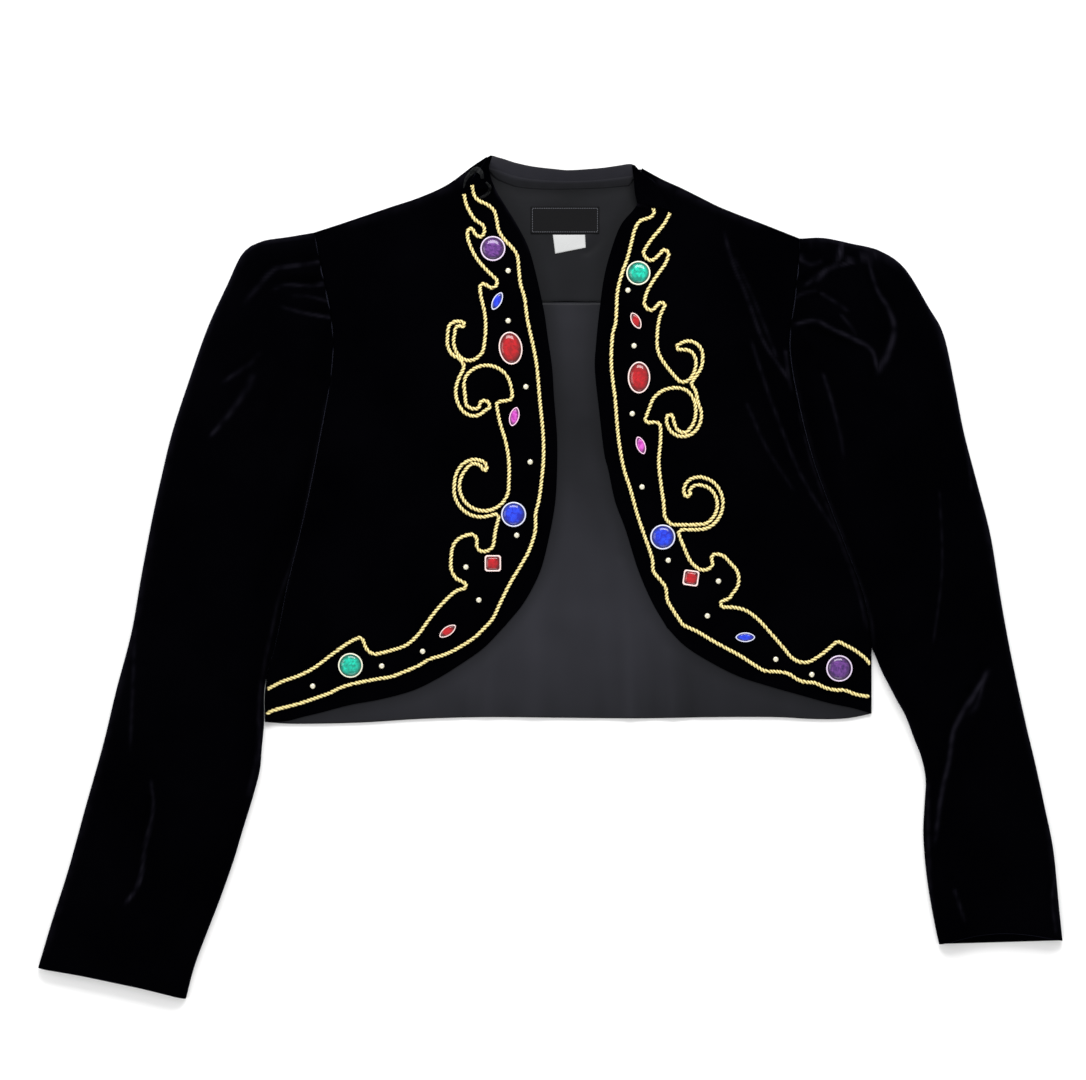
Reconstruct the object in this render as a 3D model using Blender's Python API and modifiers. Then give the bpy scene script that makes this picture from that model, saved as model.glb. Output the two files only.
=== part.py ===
# Cropped velvet jacket laid flat on its back, open down the front. Metres, +Z up, neck toward +Y.
# Tables are in millimetres from the middle of the garment on the table top; mm() turns them to metres.
# "left" and "right" are as seen from above with the neck at the top.
import math

import bpy
import numpy as np
from mathutils import Vector
from mathutils.bvhtree import BVHTree

# Driving dimensions, mm.
velvetThick = 1.4        # one layer of velvet
frontThick = 1.8         # velvet with its satin facing
satinThick = 1.0
seamGap = 0.3            # between layers and at seams
armholeGap = 0.6         # between a sleeve head and the panel beside it
liningInset = 0.4        # the lining stops this far inside the sewn edges
layGap = 0.34            # between a trim and the panel under it
cordRadius = 1.75        # couched cord
cordSides = 5
edgeCordStep = 13.0      # length of the edge cord's straight runs
scrollStep = 34.0        # degrees between points round a bend of the scroll
bandThick = 2.0
sleeveEdge = 5.0         # roll at a sleeve's folded edge
sleeveBase = 5.0         # height of an empty sleeve at its edges
frontCrown = 3.2         # soft rise in the middle of a front
stoneRise = 3.4          # dome of a stone above its rim
rimRise = 2.2

sleeveNear = 0.03        # share of the width at which a sleeve's edge columns stand
seamStep = 0.4           # added at the armpit to armholeGap
seamFade = 24.0          # length over which a sleeve's step back from the armhole fades
armpitStart = 0.6        # share of the width past which a row runs straight to the inner edge
upperCols = 17           # columns across an upper sleeve, and across an under sleeve
underCols = 13
upperRows = 25
underRows = 17
frontCols = 13
bandRows = 30
ridgeLand = 70.0         # width over which a front rises from its edges
neckInset = 1.5          # the facing stops this far below the back neck line

zBackTop = velvetThick
zLining = zBackTop + seamGap
zLiningTop = zLining + satinThick
zFrontEdge = zLiningTop + seamGap + frontThick       # top of a front along its open edge
zSleeveSeam = 2.9                                    # where upper and under sleeve meet

# Edges of each front: x, y at each place where the line turns.
seams = {
    "left": {
        "shoulder": [(-52, 344.5), (-64, 336.5), (-84.5, 321.5), (-107.5, 311), (-131.5, 303),
                     (-171.5, 289.5), (-193, 282.5)],
        "armhole": [(-193, 282.5), (-189.5, 263.5), (-184.5, 239.5), (-180, 217.5), (-177.5, 194.5),
                    (-178, 177.5), (-180.5, 157), (-187, 121), (-196, 75), (-205, 34.5), (-215, -6.5),
                    (-224, -51.5), (-231.5, -77.5)],
        "side": [(-231.5, -77.5), (-234, -98), (-233.5, -118.5)],
        "edge": [(-52, 344.5), (-49.5, 330.5), (-44.5, 317), (-37, 304.5), (-25.5, 285.5), (-16, 264.5),
                 (-6, 222.5), (-2, 196), (1.5, 171.5), (3, 148), (5.5, 115), (5.5, 88), (4, 61.5),
                 (-1, 33), (-8.5, 4.5), (-21.5, -20.5), (-36.5, -39)],
        "sweep": [(-36.5, -39), (-54.5, -59), (-75.5, -72.5), (-93.5, -83.5), (-113.5, -93),
                  (-139.5, -100), (-164, -104.5), (-187, -110.5), (-203.5, -114.5), (-217.5, -118),
                  (-233.5, -118.5)],
    },
    "right": {
        "shoulder": [(75, 335), (91.5, 326), (108, 318.5), (125, 310), (141.5, 302), (175, 289),
                     (204, 277.5)],
        "armhole": [(204, 277.5), (203, 257), (200, 227.5), (196.5, 203), (196.5, 180.5), (203, 143),
                    (214, 99.5), (227.5, 61.5), (241.5, 25.5), (252.5, -3), (259.5, -27), (263, -56.5)],
        "side": [(263, -56.5), (263, -84), (263, -111.5)],
        "edge": [(75, 335), (72, 321), (71, 305.5), (58, 289), (50, 268.5), (44, 245.5), (40, 216.5),
                 (37.5, 191.5), (36.5, 170), (40, 136.5), (44, 102.5), (47.5, 88), (53, 62.5),
                 (61.5, 39.5), (72, 6), (83.5, -20.5), (95.5, -41)],
        "sweep": [(95.5, -41), (109.5, -55.5), (128.5, -68), (154, -81), (182, -90), (205, -96.5),
                  (228.5, -103), (247.5, -107), (263, -111.5)],
    },
}
backNeck = [(-52, 344.5), (-41, 334), (-28, 330), (-14, 327.5), (15.5, 326), (41, 326.5), (61.5, 330),
            (75, 335)]
backHem = [(-233.5, -118.5), (-209.5, -120), (-156, -119), (-107, -116), (-53.5, -114.5), (8, -115),
           (73.5, -115.5), (135, -114.5), (185, -114.5), (213, -116), (237.5, -116), (252.5, -114),
           (263, -111.5)]
facingSeam = 225.5       # y of the seam between the neck facing and the lining

# Sleeves, a row per section: outer x, outer y, inner x, inner y, height of the crown.
sleeveSections = {
    "left": [
        (-193, 282.5, -231.5, -77.5, 0), (-213.5, 279, -233.4, -82, 15), (-236.5, 275, -234.9, -87, 20),
        (-252, 265, -235.8, -92.5, 23), (-264.5, 239.5, -236.0, -98, 25),
        (-280.5, 204.5, -235.9, -104.5, 25), (-295.5, 162, -235.7, -112, 23),
        (-309.5, 119, -235.5, -121, 20), (-319, 80, -235.7, -130, 17),
        (-326.5, 45.5, -236.5, -141.5, 15), (-335.5, -2, -238, -158, 13), (-343, -45, -244, -181, 11),
        (-355.5, -92.5, -252, -207, 10), (-366, -136, -260, -233.5, 9), (-380.5, -187.5, -271, -264.5, 8),
        (-394.5, -238.5, -281.5, -291.5, 7.5), (-408, -281, -291.5, -318.5, 7),
        (-419.5, -319.5, -298.5, -345, 6.5),
    ],
    "right": [
        (204, 277.5, 263, -56.5, 0), (223, 278, 264, -59.5, 15), (246, 273.5, 266, -63.5, 21),
        (269.5, 267.5, 268, -68.5, 25), (290, 253, 270.5, -74.5, 27), (309.5, 221.5, 273.5, -81, 28),
        (322, 198.5, 277.5, -88.5, 27), (331, 157.5, 283.5, -100, 24), (338.5, 119, 291, -113.5, 20),
        (350, 75, 298, -132, 17), (360.5, 34, 304, -147.5, 15), (369, -18.5, 307.5, -166, 13),
        (377, -62, 306.5, -186.5, 11), (388.5, -116, 305.5, -207, 10), (397.5, -154, 306.5, -227.5, 9),
        (405, -188.5, 309, -250, 8.5), (412, -223.5, 312, -268.5, 8), (416.5, -268.5, 315.5, -287, 7),
        (419.5, -297.5, 318.5, -300.5, 6.5),
    ],
}
cuffScoop = {"left": 2.0, "right": 8.0}      # the upper sleeve's end curves up this far in its middle

# Largest folds, a row per fold: piece, points along it, width, height (a trough is below 0).
folds = [
    ("sleeve left", [(-193, 258), (-209, 258), (-222, 253), (-235, 238), (-246, 224)], 8, -6),
    ("sleeve left", [(-186, 240), (-211, 240), (-228, 238), (-237, 230)], 8, -6),
    ("sleeve left", [(-180, 214), (-199, 218), (-214, 219)], 8, -5),
    ("sleeve left", [(-262, 163), (-243, 176)], 12, -4),
    ("sleeve left", [(-243, 170), (-258, 137), (-281, 113)], 14, -4),
    ("sleeve left", [(-326, -181), (-332, -228), (-348, -268)], 10, -3),
    ("sleeve right", [(199, 258), (207, 263), (218, 275)], 8, -6),
    ("sleeve right", [(211, 240), (226, 253), (245, 256), (257, 259)], 8, -5),
    ("sleeve right", [(260, 264), (262, 248), (271, 221), (277, 200), (265, 166)], 10, -6),
    ("sleeve right", [(217, 232), (234, 222), (245, 210)], 9, -4),
    ("sleeve right", [(217, 200), (234, 191), (258, 182), (264, 166)], 10, -5),
    ("sleeve right", [(221, 163), (231, 130), (237, 97)], 14, -4),
    ("sleeve right", [(346, -85), (328, -125), (320, -168), (315, -222)], 12, -4),
    ("front left", [(-150, 150), (-168, 70), (-185, 0)], 22, 2.0),
    ("front right", [(145, 268), (159, 239), (169, 213), (180, 176), (193, 158)], 12, 2.4),
    ("front right", [(164, 194), (184, 138), (208, 80)], 14, 2.6),
    ("front right", [(214, 80), (240, 15), (250, -30)], 12, 1.6),
]

# Bends of the inner scroll, a row per bend: kind, middle x, middle y, half width, half height,
# start and sweep in degrees. A row with no half width is a point that the cord passes.
scroll = {
    "left": [
        ("run", -70.6, 313.5, 0, 0, 0, 0), ("run", -68.3, 304, 0, 0, 0, 0),
        ("run", -62.3, 293.5, 0, 0, 0, 0), ("crest", -58.6, 284, 4.8, 5.8, 60, -130),
        ("run", -61.1, 280.4, 0, 0, 0, 0), ("crest", -64.9, 282, 2.9, 3.4, 60, 115),
        ("run", -66.9, 275, 0, 0, 0, 0), ("run", -61.3, 262.5, 0, 0, 0, 0),
        ("run", -53.3, 252.5, 0, 0, 0, 0), ("crest", -47.7, 241.2, 4.2, 4.4, 40, -150),
        ("crest", -54.7, 236.9, 2.8, 3.2, 70, 110), ("run", -56.8, 230, 0, 0, 0, 0),
        ("run", -53.7, 216, 0, 0, 0, 0), ("run", -52.9, 203, 0, 0, 0, 0),
        ("hook", -66.3, 193.5, 12.8, 16.2, -25, -178), ("tip", -74.1, 201.8, 4.2, 3.8, 150, -90),
        ("tip", -72.1, 207, 1.8, 1.8, -50, 130), ("return", -75.9, 201.2, 8, 8.2, 90, 65),
        ("return", -72.5, 193, 11.8, 14.2, 170, 88), ("cusp", -70.7, 172.6, 0, 0, 0, 0),
        ("hook", -62.5, 151.8, 14.8, 19.8, 145, 165), ("tip", -53.9, 140.2, 4.2, 4.4, -20, 170),
        ("return", -62.1, 145.6, 7.8, 7.8, -62, -90), ("return", -56.9, 156, 13.8, 16.6, 200, -55),
        ("shoulder", -52.1, 153, 20.2, 20.4, 115, -108), ("run", -31.9, 146.2, 0, 0, 0, 0),
        ("valley", -40.3, 140.2, 3.6, 3.8, 85, 85), ("run", -41.3, 127, 0, 0, 0, 0),
        ("run", -36.3, 110, 0, 0, 0, 0), ("run", -33.9, 94, 0, 0, 0, 0),
        ("hook", -54.1, 74.6, 20.2, 20.2, 5, -220), ("tip", -61.9, 85.2, 7.6, 7.8, 118, -92),
        ("tip", -54.1, 89.4, 2.2, 2.2, -80, 130), ("return", -61.7, 77.6, 16.4, 18.8, 62, 95),
        ("return", -56.7, 72.4, 22.2, 23, 168, 104), ("crest", -44.9, 48.8, 2.6, 2.8, 100, -110),
        ("run", -44.9, 38, 0, 0, 0, 0), ("valley", -54.7, 28.4, 8.4, 7.2, -15, -95),
        ("valley", -56.1, 26.4, 4.2, 4.6, 240, -80), ("crest", -65.1, 30.6, 5, 4.6, 15, 75),
        ("crest", -66.9, 18.8, 14, 15.6, 105, 55), ("curl", -68.7, 10.6, 12.8, 15, 170, 55),
        ("run", -74.5, -2.2, 0, 0, 0, 0), ("tip", -71.5, -6.6, 2.6, 2.6, 50, -125),
        ("run", -78.3, -12, 0, 0, 0, 0), ("run", -90.3, -23.5, 0, 0, 0, 0),
        ("run", -100.3, -36, 0, 0, 0, 0), ("run", -108.3, -47, 0, 0, 0, 0),
        ("run", -118.3, -55.6, 0, 0, 0, 0), ("run", -131.3, -60, 0, 0, 0, 0),
        ("valley", -142.7, -53.8, 9, 8.8, -85, -75), ("crest", -156.3, -52.6, 3.4, 3.2, 20, 90),
        ("run", -165.3, -53.6, 0, 0, 0, 0), ("run", -177.3, -62, 0, 0, 0, 0),
        ("run", -193.3, -74, 0, 0, 0, 0), ("run", -206.3, -80.6, 0, 0, 0, 0),
        ("run", -219.3, -85.2, 0, 0, 0, 0), ("end", -231.3, -91.4, 0, 0, 0, 0),
    ],
    "right": [
        ("run", 97.9, 298, 0, 0, 0, 0), ("run", 92.7, 288.5, 0, 0, 0, 0),
        ("run", 83.1, 277, 0, 0, 0, 0), ("valley", 82.7, 265.6, 6.2, 6.2, 165, 115),
        ("run", 89.1, 264, 0, 0, 0, 0), ("crest", 93.1, 263.6, 3.6, 4.2, 110, -115),
        ("run", 93.7, 256, 0, 0, 0, 0), ("run", 85.5, 244.5, 0, 0, 0, 0),
        ("run", 79.3, 234, 0, 0, 0, 0), ("valley", 82.5, 225.2, 5.6, 6.6, 178, 105),
        ("crest", 90.7, 222, 2.8, 2.8, 115, -115), ("run", 89.5, 213, 0, 0, 0, 0),
        ("run", 87.5, 200, 0, 0, 0, 0), ("run", 87.9, 186, 0, 0, 0, 0),
        ("run", 92.9, 175.5, 0, 0, 0, 0), ("hook", 108.9, 177.2, 10.2, 17.4, 240, 115),
        ("tip", 109.9, 177, 8.8, 9.2, 25, 70), ("tip", 105.7, 188.4, 2.2, 2.2, -110, -125),
        ("return", 112.9, 180.8, 11.8, 12.4, 105, -115), ("return", 107.9, 178.2, 16.6, 18, -12, -30),
        ("cusp", 115.5, 158.4, 0, 0, 0, 0), ("run", 118.7, 152.4, 0, 0, 0, 0),
        ("hook", 108.7, 132.8, 14.8, 17.6, 35, -130), ("hook", 107.5, 128.4, 12.4, 13, -112, -58),
        ("tip", 97.7, 130.4, 2.6, 2.6, 175, -165), ("return", 109.5, 127.6, 8.2, 9.2, 195, 85),
        ("return", 107.3, 136, 11.6, 18, -62, 95), ("shoulder", 101.9, 134.8, 21.4, 20.2, 64, 108),
        ("valley", 80.5, 129.6, 2.8, 3, 175, 90), ("crest", 85.9, 122.6, 4.2, 4.4, 100, -95),
        ("run", 90.1, 112, 0, 0, 0, 0), ("run", 88.7, 94, 0, 0, 0, 0), ("run", 90.5, 76, 0, 0, 0, 0),
        ("run", 92.5, 62, 0, 0, 0, 0), ("hook", 102.9, 53.4, 9.8, 10.4, 195, 68),
        ("hook", 121.4, 59.4, 15.1, 16.2, -80, 168), ("return", 121, 68.6, 7.6, 7, 98, 72),
        ("tip", 112, 68.8, 2.6, 2.6, 0, -175), ("return", 121, 70.6, 12, 11.4, 168, -78),
        ("return", 121.7, 60.6, 19.4, 21.4, 82, -165), ("valley", 108.5, 35.8, 3.4, 3.2, 85, 105),
        ("run", 109.5, 24, 0, 0, 0, 0), ("run", 114.3, 13.6, 0, 0, 0, 0),
        ("valley", 125.3, 14.2, 8.4, 8.2, 225, 105), ("crest", 135.4, 15.4, 3.6, 3.8, 185, -100),
        ("run", 141.7, 17.4, 0, 0, 0, 0), ("curl", 139.3, -1.6, 14.8, 15.4, 55, -105),
        ("run", 146.1, -17.2, 0, 0, 0, 0), ("valley", 142.1, -21.6, 2.8, 2.8, 110, 145),
        ("run", 150.5, -24.6, 0, 0, 0, 0), ("run", 160.5, -27.4, 0, 0, 0, 0),
        ("run", 170.5, -35, 0, 0, 0, 0), ("run", 180.5, -46, 0, 0, 0, 0),
        ("run", 191.5, -58.6, 0, 0, 0, 0), ("valley", 207.7, -52.6, 16, 17, 225, 85),
        ("run", 225.5, -60.2, 0, 0, 0, 0), ("crest", 235.7, -58, 5, 5.2, 135, -90),
        ("run", 248.5, -59.2, 0, 0, 0, 0), ("run", 257.5, -66, 0, 0, 0, 0),
        ("end", 261.4, -71, 0, 0, 0, 0),
    ],
}

# Points that the edge cord passes, from the neck down.
edgeCordRoute = {
    "left": [
        (-62.4, 313), (-58.5, 308.3), (-51.5, 305), (-46, 300), (-43.8, 292),
        (-42.3, 284), (-38, 277), (-31, 269.5), (-27, 263), (-25.8, 252), (-24.4, 240), (-21, 228),
        (-18.6, 210), (-14.2, 190), (-11, 172), (-8.6, 145), (-6, 118), (-5.6, 98), (-7, 81),
        (-9.2, 64), (-12, 52), (-12.4, 38), (-17.2, 22.5), (-24, 10), (-33, -5), (-41, -21),
        (-47, -33.5), (-55, -42.5), (-63.5, -50.3), (-77.5, -59), (-88, -63.7), (-98.5, -66.8),
        (-108, -72.3), (-119.5, -77.2), (-130, -81.2), (-141, -83), (-159.5, -86.6), (-171, -90),
        (-181, -94.8), (-190, -98), (-203, -102.5), (-214, -105.5), (-226, -108.6), (-232.2, -111.6),
    ],
    "right": [
        (84.8, 298), (81.4, 294.4), (73.4, 291.6), (69.2, 284.8), (66.6, 275), (63.2, 261.5),
        (58.4, 248), (55, 234), (54.2, 220.5), (53.4, 208), (51.2, 200), (50, 186.5), (50, 172.5),
        (51.5, 157.5), (53, 146.5), (55, 121), (57.2, 104), (60.4, 88), (65.2, 73), (71, 52), (76, 37),
        (80.8, 23.5), (83.6, 14), (84.4, 5), (90, -2.2), (94.4, -8.5), (95.8, -18.6), (100.5, -27),
        (105.2, -34), (109, -39), (120.4, -44.4), (132, -51.4), (144, -58), (155.6, -64.3),
        (167.3, -71.9), (175.5, -76.4), (186, -77.2), (194.2, -78.6), (202.4, -83.6), (208.3, -85.6),
        (216.5, -86.4), (225.8, -90.6), (234, -92.2), (241, -92.4), (250.4, -95.8), (260.9, -97.6),
    ],
}

# Stones, a row per stone: front, cut, colour, x, y, length, width, turn in degrees.
stones = [
    ("left", "round", "purple", -47, 269, 20.5, 20.5, 0),
    ("left", "marquise", "blue", -43.5, 226, 16.0, 7.6, 62),
    ("left", "oval", "red", -32.5, 187.5, 27.0, 19.4, 98),
    ("left", "marquise", "pink", -29.5, 131.5, 16.0, 8.2, 75),
    ("left", "round", "blue", -30, 51.5, 20.5, 20.5, 0),
    ("left", "square", "red", -47, 11.5, 13.4, 13.4, 0),
    ("left", "marquise", "red", -84, -44, 16.0, 7.6, 35),
    ("left", "round", "green", -163.5, -72, 20.3, 20.3, 0),
    ("right", "round", "green", 72, 249, 19.8, 19.8, 0),
    ("right", "marquise", "red", 70, 210, 14.6, 7.6, 118),
    ("right", "oval", "red", 72.5, 163.5, 26.0, 18.4, 90),
    ("right", "marquise", "pink", 74, 108, 15.2, 7.6, 110),
    ("right", "round", "blue", 92, 33, 20.5, 20.5, 0),
    ("right", "square", "red", 115, -0.5, 12.8, 12.8, -8),
    ("right", "marquise", "blue", 159.5, -49, 16.0, 8.0, 0),
    ("right", "round", "purple", 236.5, -74.5, 21.6, 21.6, 0),
]

# Neck band, a row per section from the left front to the right front:
# foot x, foot y, top x, top y, height of the foot, height of the top edge.
bandSections = [
    (-69, 317, -46.5, 318.5, 5.2, 8.0), (-64, 325.5, -49.5, 327, 5.2, 11.0),
    (-56, 333, -50.5, 343, 5.2, 17.0), (-45, 333.5, -41.5, 342, 4.4, 20.0),
    (-29, 328, -28, 337.5, 3.3, 21.0), (-14, 325.5, -14, 334.5, 3.1, 21.0),
    (0.5, 324.5, 0.5, 332.8, 3.1, 21.0), (15.5, 324, 15.5, 331.5, 3.1, 21.0),
    (38.5, 325, 38.5, 333, 3.1, 21.0), (53, 326.5, 53, 335, 3.3, 20.5),
    (66, 328, 65, 337, 4.4, 19.0), (77, 327.5, 68.5, 334.5, 5.2, 17.0),
    (85, 322.5, 68.5, 326, 5.3, 14.0), (91.5, 312, 69.5, 314.5, 5.3, 11.0),
    (97.5, 301.5, 71.5, 306, 5.2, 9.0),
]
brandLabel = {"middle": (12.0, 292.5), "size": (56.0, 22.0), "thick": 1.0}
careLabel = {"corners": [(2.0, 280.6), (28.5, 280.6), (29.0, 270.0), (4.0, 265.0)], "thick": 1.0}

# Colours: linear red, green, blue, with roughness and metallic.
surfaces = {
    "velvet": (0.012, 0.011, 0.016, 0.9, 0.0),
    "satin": (0.030, 0.032, 0.038, 0.45, 0.0),
    "cord": (0.80, 0.62, 0.30, 0.4, 0.6),
    "label": (0.008, 0.008, 0.010, 0.8, 0.0),
    "care": (0.82, 0.82, 0.80, 0.6, 0.0),
    "stone_purple": (0.20, 0.03, 0.42, 0.12, 0.0),
    "stone_blue": (0.01, 0.05, 0.50, 0.12, 0.0),
    "stone_red": (0.55, 0.01, 0.02, 0.12, 0.0),
    "stone_pink": (0.60, 0.02, 0.22, 0.12, 0.0),
    "stone_green": (0.01, 0.32, 0.16, 0.12, 0.0),
}


def clearScene():
    for old in list(bpy.data.objects):
        bpy.data.objects.remove(old, do_unlink=True)


def makeMaterial(name, tint):
    material = bpy.data.materials.new(name)
    material.use_nodes = True
    shader = material.node_tree.nodes["Principled BSDF"]
    shader.inputs["Base Color"].default_value = (*tint[:3], 1.0)
    shader.inputs["Roughness"].default_value = tint[3]
    shader.inputs["Metallic"].default_value = tint[4]
    return material


def spline(points, count, spacing=None):
    """Smooth line through the points, cut into equal lengths."""
    p = np.array(points, float)
    ends = np.vstack([2 * p[0] - p[1], p, 2 * p[-1] - p[-2]])
    fine = []
    for a, b, c, d in zip(ends[:-3], ends[1:-2], ends[2:-1], ends[3:]):
        for t in np.linspace(0, 1, 16, endpoint=False):
            fine.append(0.5 * (2 * b + (c - a) * t + (2 * a - 5 * b + 4 * c - d) * t * t
                               + (3 * b - a - 3 * c + d) * t ** 3))
    fine = np.vstack([fine, p[-1]])
    lengths = np.concatenate([[0], np.cumsum(np.linalg.norm(np.diff(fine, axis=0), axis=1))])
    if spacing:
        count = max(2, int(round(lengths[-1] / spacing)) + 1)
    at = np.linspace(0, lengths[-1], count)
    return np.column_stack([np.interp(at, lengths, fine[:, k]) for k in range(p.shape[1])])


def distanceTo(line, points):
    """Least distance in plan from each point to a line of short straight runs."""
    a, b = line[:-1], line[1:]
    run = b - a
    best = np.full(len(points), 1e9)
    for start, step in zip(a, run):
        along = np.clip((points - start) @ step / max(step @ step, 1e-9), 0, 1)
        best = np.minimum(best, np.linalg.norm(points - start - along[:, None] * step, axis=1))
    return best


def rollUp(distance, radius):
    """Quarter circle: 0 at the edge, 1 from radius inwards."""
    t = np.clip(distance / radius, 0, 1)
    return np.sqrt(1 - (1 - t) ** 2)


def ease(t):
    t = np.clip(t, 0, 1)
    return t * t * (3 - 2 * t)


def foldHeight(piece, points):
    total = np.zeros(len(points))
    for where, path, width, height in folds:
        if where != piece:
            continue
        line = spline(path, 12)
        away = distanceTo(line, points)
        total += height * np.exp(-(away / (0.5 * width)) ** 2)
    return total


def gridFaces(rows, cols, flip):
    faces = []
    for r in range(rows - 1):
        for c in range(cols - 1):
            a, b = r * cols + c, r * cols + c + 1
            d, e = a + cols, b + cols
            pair = [(a, b, e), (a, e, d)] if (r + c) % 2 else [(a, b, d), (b, e, d)]
            faces += [q[::-1] for q in pair] if flip else pair
    return faces


def addObject(name, points, faces, material, thick=None, grow=-1.0):
    mesh = bpy.data.meshes.new(name)
    mesh.from_pydata([tuple(v * 0.001 for v in p) for p in points], [], [tuple(f) for f in faces])
    mesh.materials.append(materials[material])
    mesh.update()
    obj = bpy.data.objects.new(name, mesh)
    parts.objects.link(obj)
    if thick:
        wall = obj.modifiers.new("wall", "SOLIDIFY")
        wall.thickness = thick * 0.001
        wall.offset = grow
        wall.use_rim = True
    return obj


def facesUp(points, faces):
    """True when the open surface's faces look up on the whole."""
    p = np.array(points)
    f = np.array([q[:3] for q in faces])
    n = np.cross(p[f[:, 1]] - p[f[:, 0]], p[f[:, 2]] - p[f[:, 0]])
    return n[:, 2].sum() > 0


def openSurface(grid, up=True):
    rows, cols = grid.shape[:2]
    points = grid.reshape(-1, 3)
    faces = gridFaces(rows, cols, False)
    if facesUp(points, faces) != up:
        faces = [q[::-1] for q in faces]
    return points, faces


def flatPanel(name, outline, bottom, thick, material):
    """A flat piece cut to its outline, its underside at the given height."""
    points = [(x, y, bottom) for x, y in outline]
    face = list(range(len(points)))
    if not facesUp(points, [(0, k, k + 1) for k in range(1, len(points) - 1)]):
        face = face[::-1]
    return addObject(name, points, [face], material, thick, 1.0)


def insetLoop(loop, amounts):
    """Moves a closed outline inwards, each point by its own amount."""
    p = np.array(loop, float)
    area = 0.5 * np.sum(p[:, 0] * np.roll(p[:, 1], -1) - np.roll(p[:, 0], -1) * p[:, 1])
    tangent = np.roll(p, -1, axis=0) - np.roll(p, 1, axis=0)
    tangent /= np.linalg.norm(tangent, axis=1)[:, None]
    normal = np.column_stack([-tangent[:, 1], tangent[:, 0]]) * (1 if area > 0 else -1)
    return p + normal * np.array(amounts)[:, None]


def coons(top, bottom, left, right, v):
    """Patch between four edges; top and bottom run across, left and right run down."""
    cols = len(top)
    v = v[:, None, None]
    u = np.linspace(0, 1, cols)[None, :, None]
    flat = (1 - v) * top[None] + v * bottom[None] + (1 - u) * left[:, None] + u * right[:, None]
    flat -= ((1 - v) * ((1 - u) * top[0] + u * top[-1]) + v * ((1 - u) * bottom[0] + u * bottom[-1]))
    return flat


def lineAt(line, at):
    """Points of a smooth line at the given shares of its length."""
    fine = spline(line, 400)
    return np.column_stack([np.interp(at, np.linspace(0, 1, 400), fine[:, k]) for k in range(2)])


def armholeLine(side, cols, between):
    """The armhole as straight runs between the sleeve's columns, with points added along each run."""
    corners = lineAt(seams[side]["armhole"], sharedStations(cols))
    out = [corners[0]]
    for a, b in zip(corners[:-1], corners[1:]):
        for k in range(1, between + 1):
            out.append(a + (b - a) * k / between)
    return np.array(out)


def frontPlan(side, cols):
    """The front's grid in plan: rows from the shoulder down, columns from the side seam in."""
    s = seams[side]
    seam = np.vstack([armholeLine(side, upperCols, 2), spline(s["side"], 4)[1:]])
    along = np.concatenate([[0], np.cumsum(np.linalg.norm(np.diff(seam, axis=0), axis=1))])
    v = along / along[-1]
    top = spline(s["shoulder"][::-1], cols)
    opening = lineAt(s["edge"], v)
    sweep = spline(s["sweep"][::-1], cols)
    return coons(top, sweep, seam, opening, v)


def sewnEdge(side):
    s = seams[side]
    return np.vstack([spline(s["shoulder"], 30), spline(s["armhole"], 60)[1:], spline(s["side"], 12)[1:]])


def openEdge(side):
    s = seams[side]
    return spline(np.vstack([spline(s["edge"], 200), spline(s["sweep"], 100)[1:]]), 160)


def frontTop(side, flat):
    """Height of a front's upper face over the plan points."""
    sewn = distanceTo(sewnEdge(side), flat)
    opened = distanceTo(openEdge(side), flat)
    z = zFrontEdge + frontCrown * ease(sewn / ridgeLand) * ease(opened / ridgeLand)
    z += foldHeight("front " + side, flat) * ease(sewn / 14.0) * ease(opened / 60.0)
    return np.maximum(z, zFrontEdge)


def sleevePlan(side, cols, rows, acrossAt):
    """The sleeve's grid in plan: row 0 is the armhole seam, columns go from the outer edge to the inner."""
    table = np.array(sleeveSections[side], float)
    fine = spline(table, rows)
    outer, inner, crown = fine[:, :2], fine[:, 2:4], fine[:, 4]
    shared = sharedStations(cols)
    corners = lineAt(seams[side]["armhole"], shared)
    seam = np.column_stack([np.interp(acrossAt, shared, corners[:, k]) for k in range(2)])
    chord = seam[0] + acrossAt[:, None] * (seam[-1] - seam[0])
    bulge = seam - chord
    grid = np.zeros((rows, cols, 2))
    for r in range(rows):
        fade = max(0.0, 1 - r / (0.42 * rows)) ** 1.6
        straight = outer[r] + acrossAt[:, None] * (inner[r] - outer[r])
        follow = 1 - min(1, r) * ease((acrossAt - armpitStart) / (1 - armpitStart))
        grid[r] = straight + bulge * fade * follow[:, None]
    return grid, crown


def freeEdges(side):
    table = np.array(sleeveSections[side], float)
    return spline(table[:, :2], 90), spline(table[:, 2:4], 90)


def moveOffSeam(grid, side, gap):
    """The sleeve steps back from the armhole seam, less and less, so that the pieces don't touch."""
    sign = -1.0 if side == "left" else 1.0
    tangent = np.gradient(grid[0], axis=0)
    tangent /= np.maximum(np.linalg.norm(tangent, axis=1), 1e-6)[:, None]
    normal = np.column_stack([-tangent[:, 1], tangent[:, 0]])
    normal *= np.where((normal[:, 0] * sign) < 0, -1.0, 1.0)[:, None]
    away = np.full(len(grid[0]), gap)
    away[-4:] = gap + seamStep
    fromSeam = np.linalg.norm(grid - grid[0], axis=2)
    return grid + (normal * away[:, None])[None] * np.clip(1 - fromSeam / seamFade, 0, 1)[:, :, None]


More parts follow.
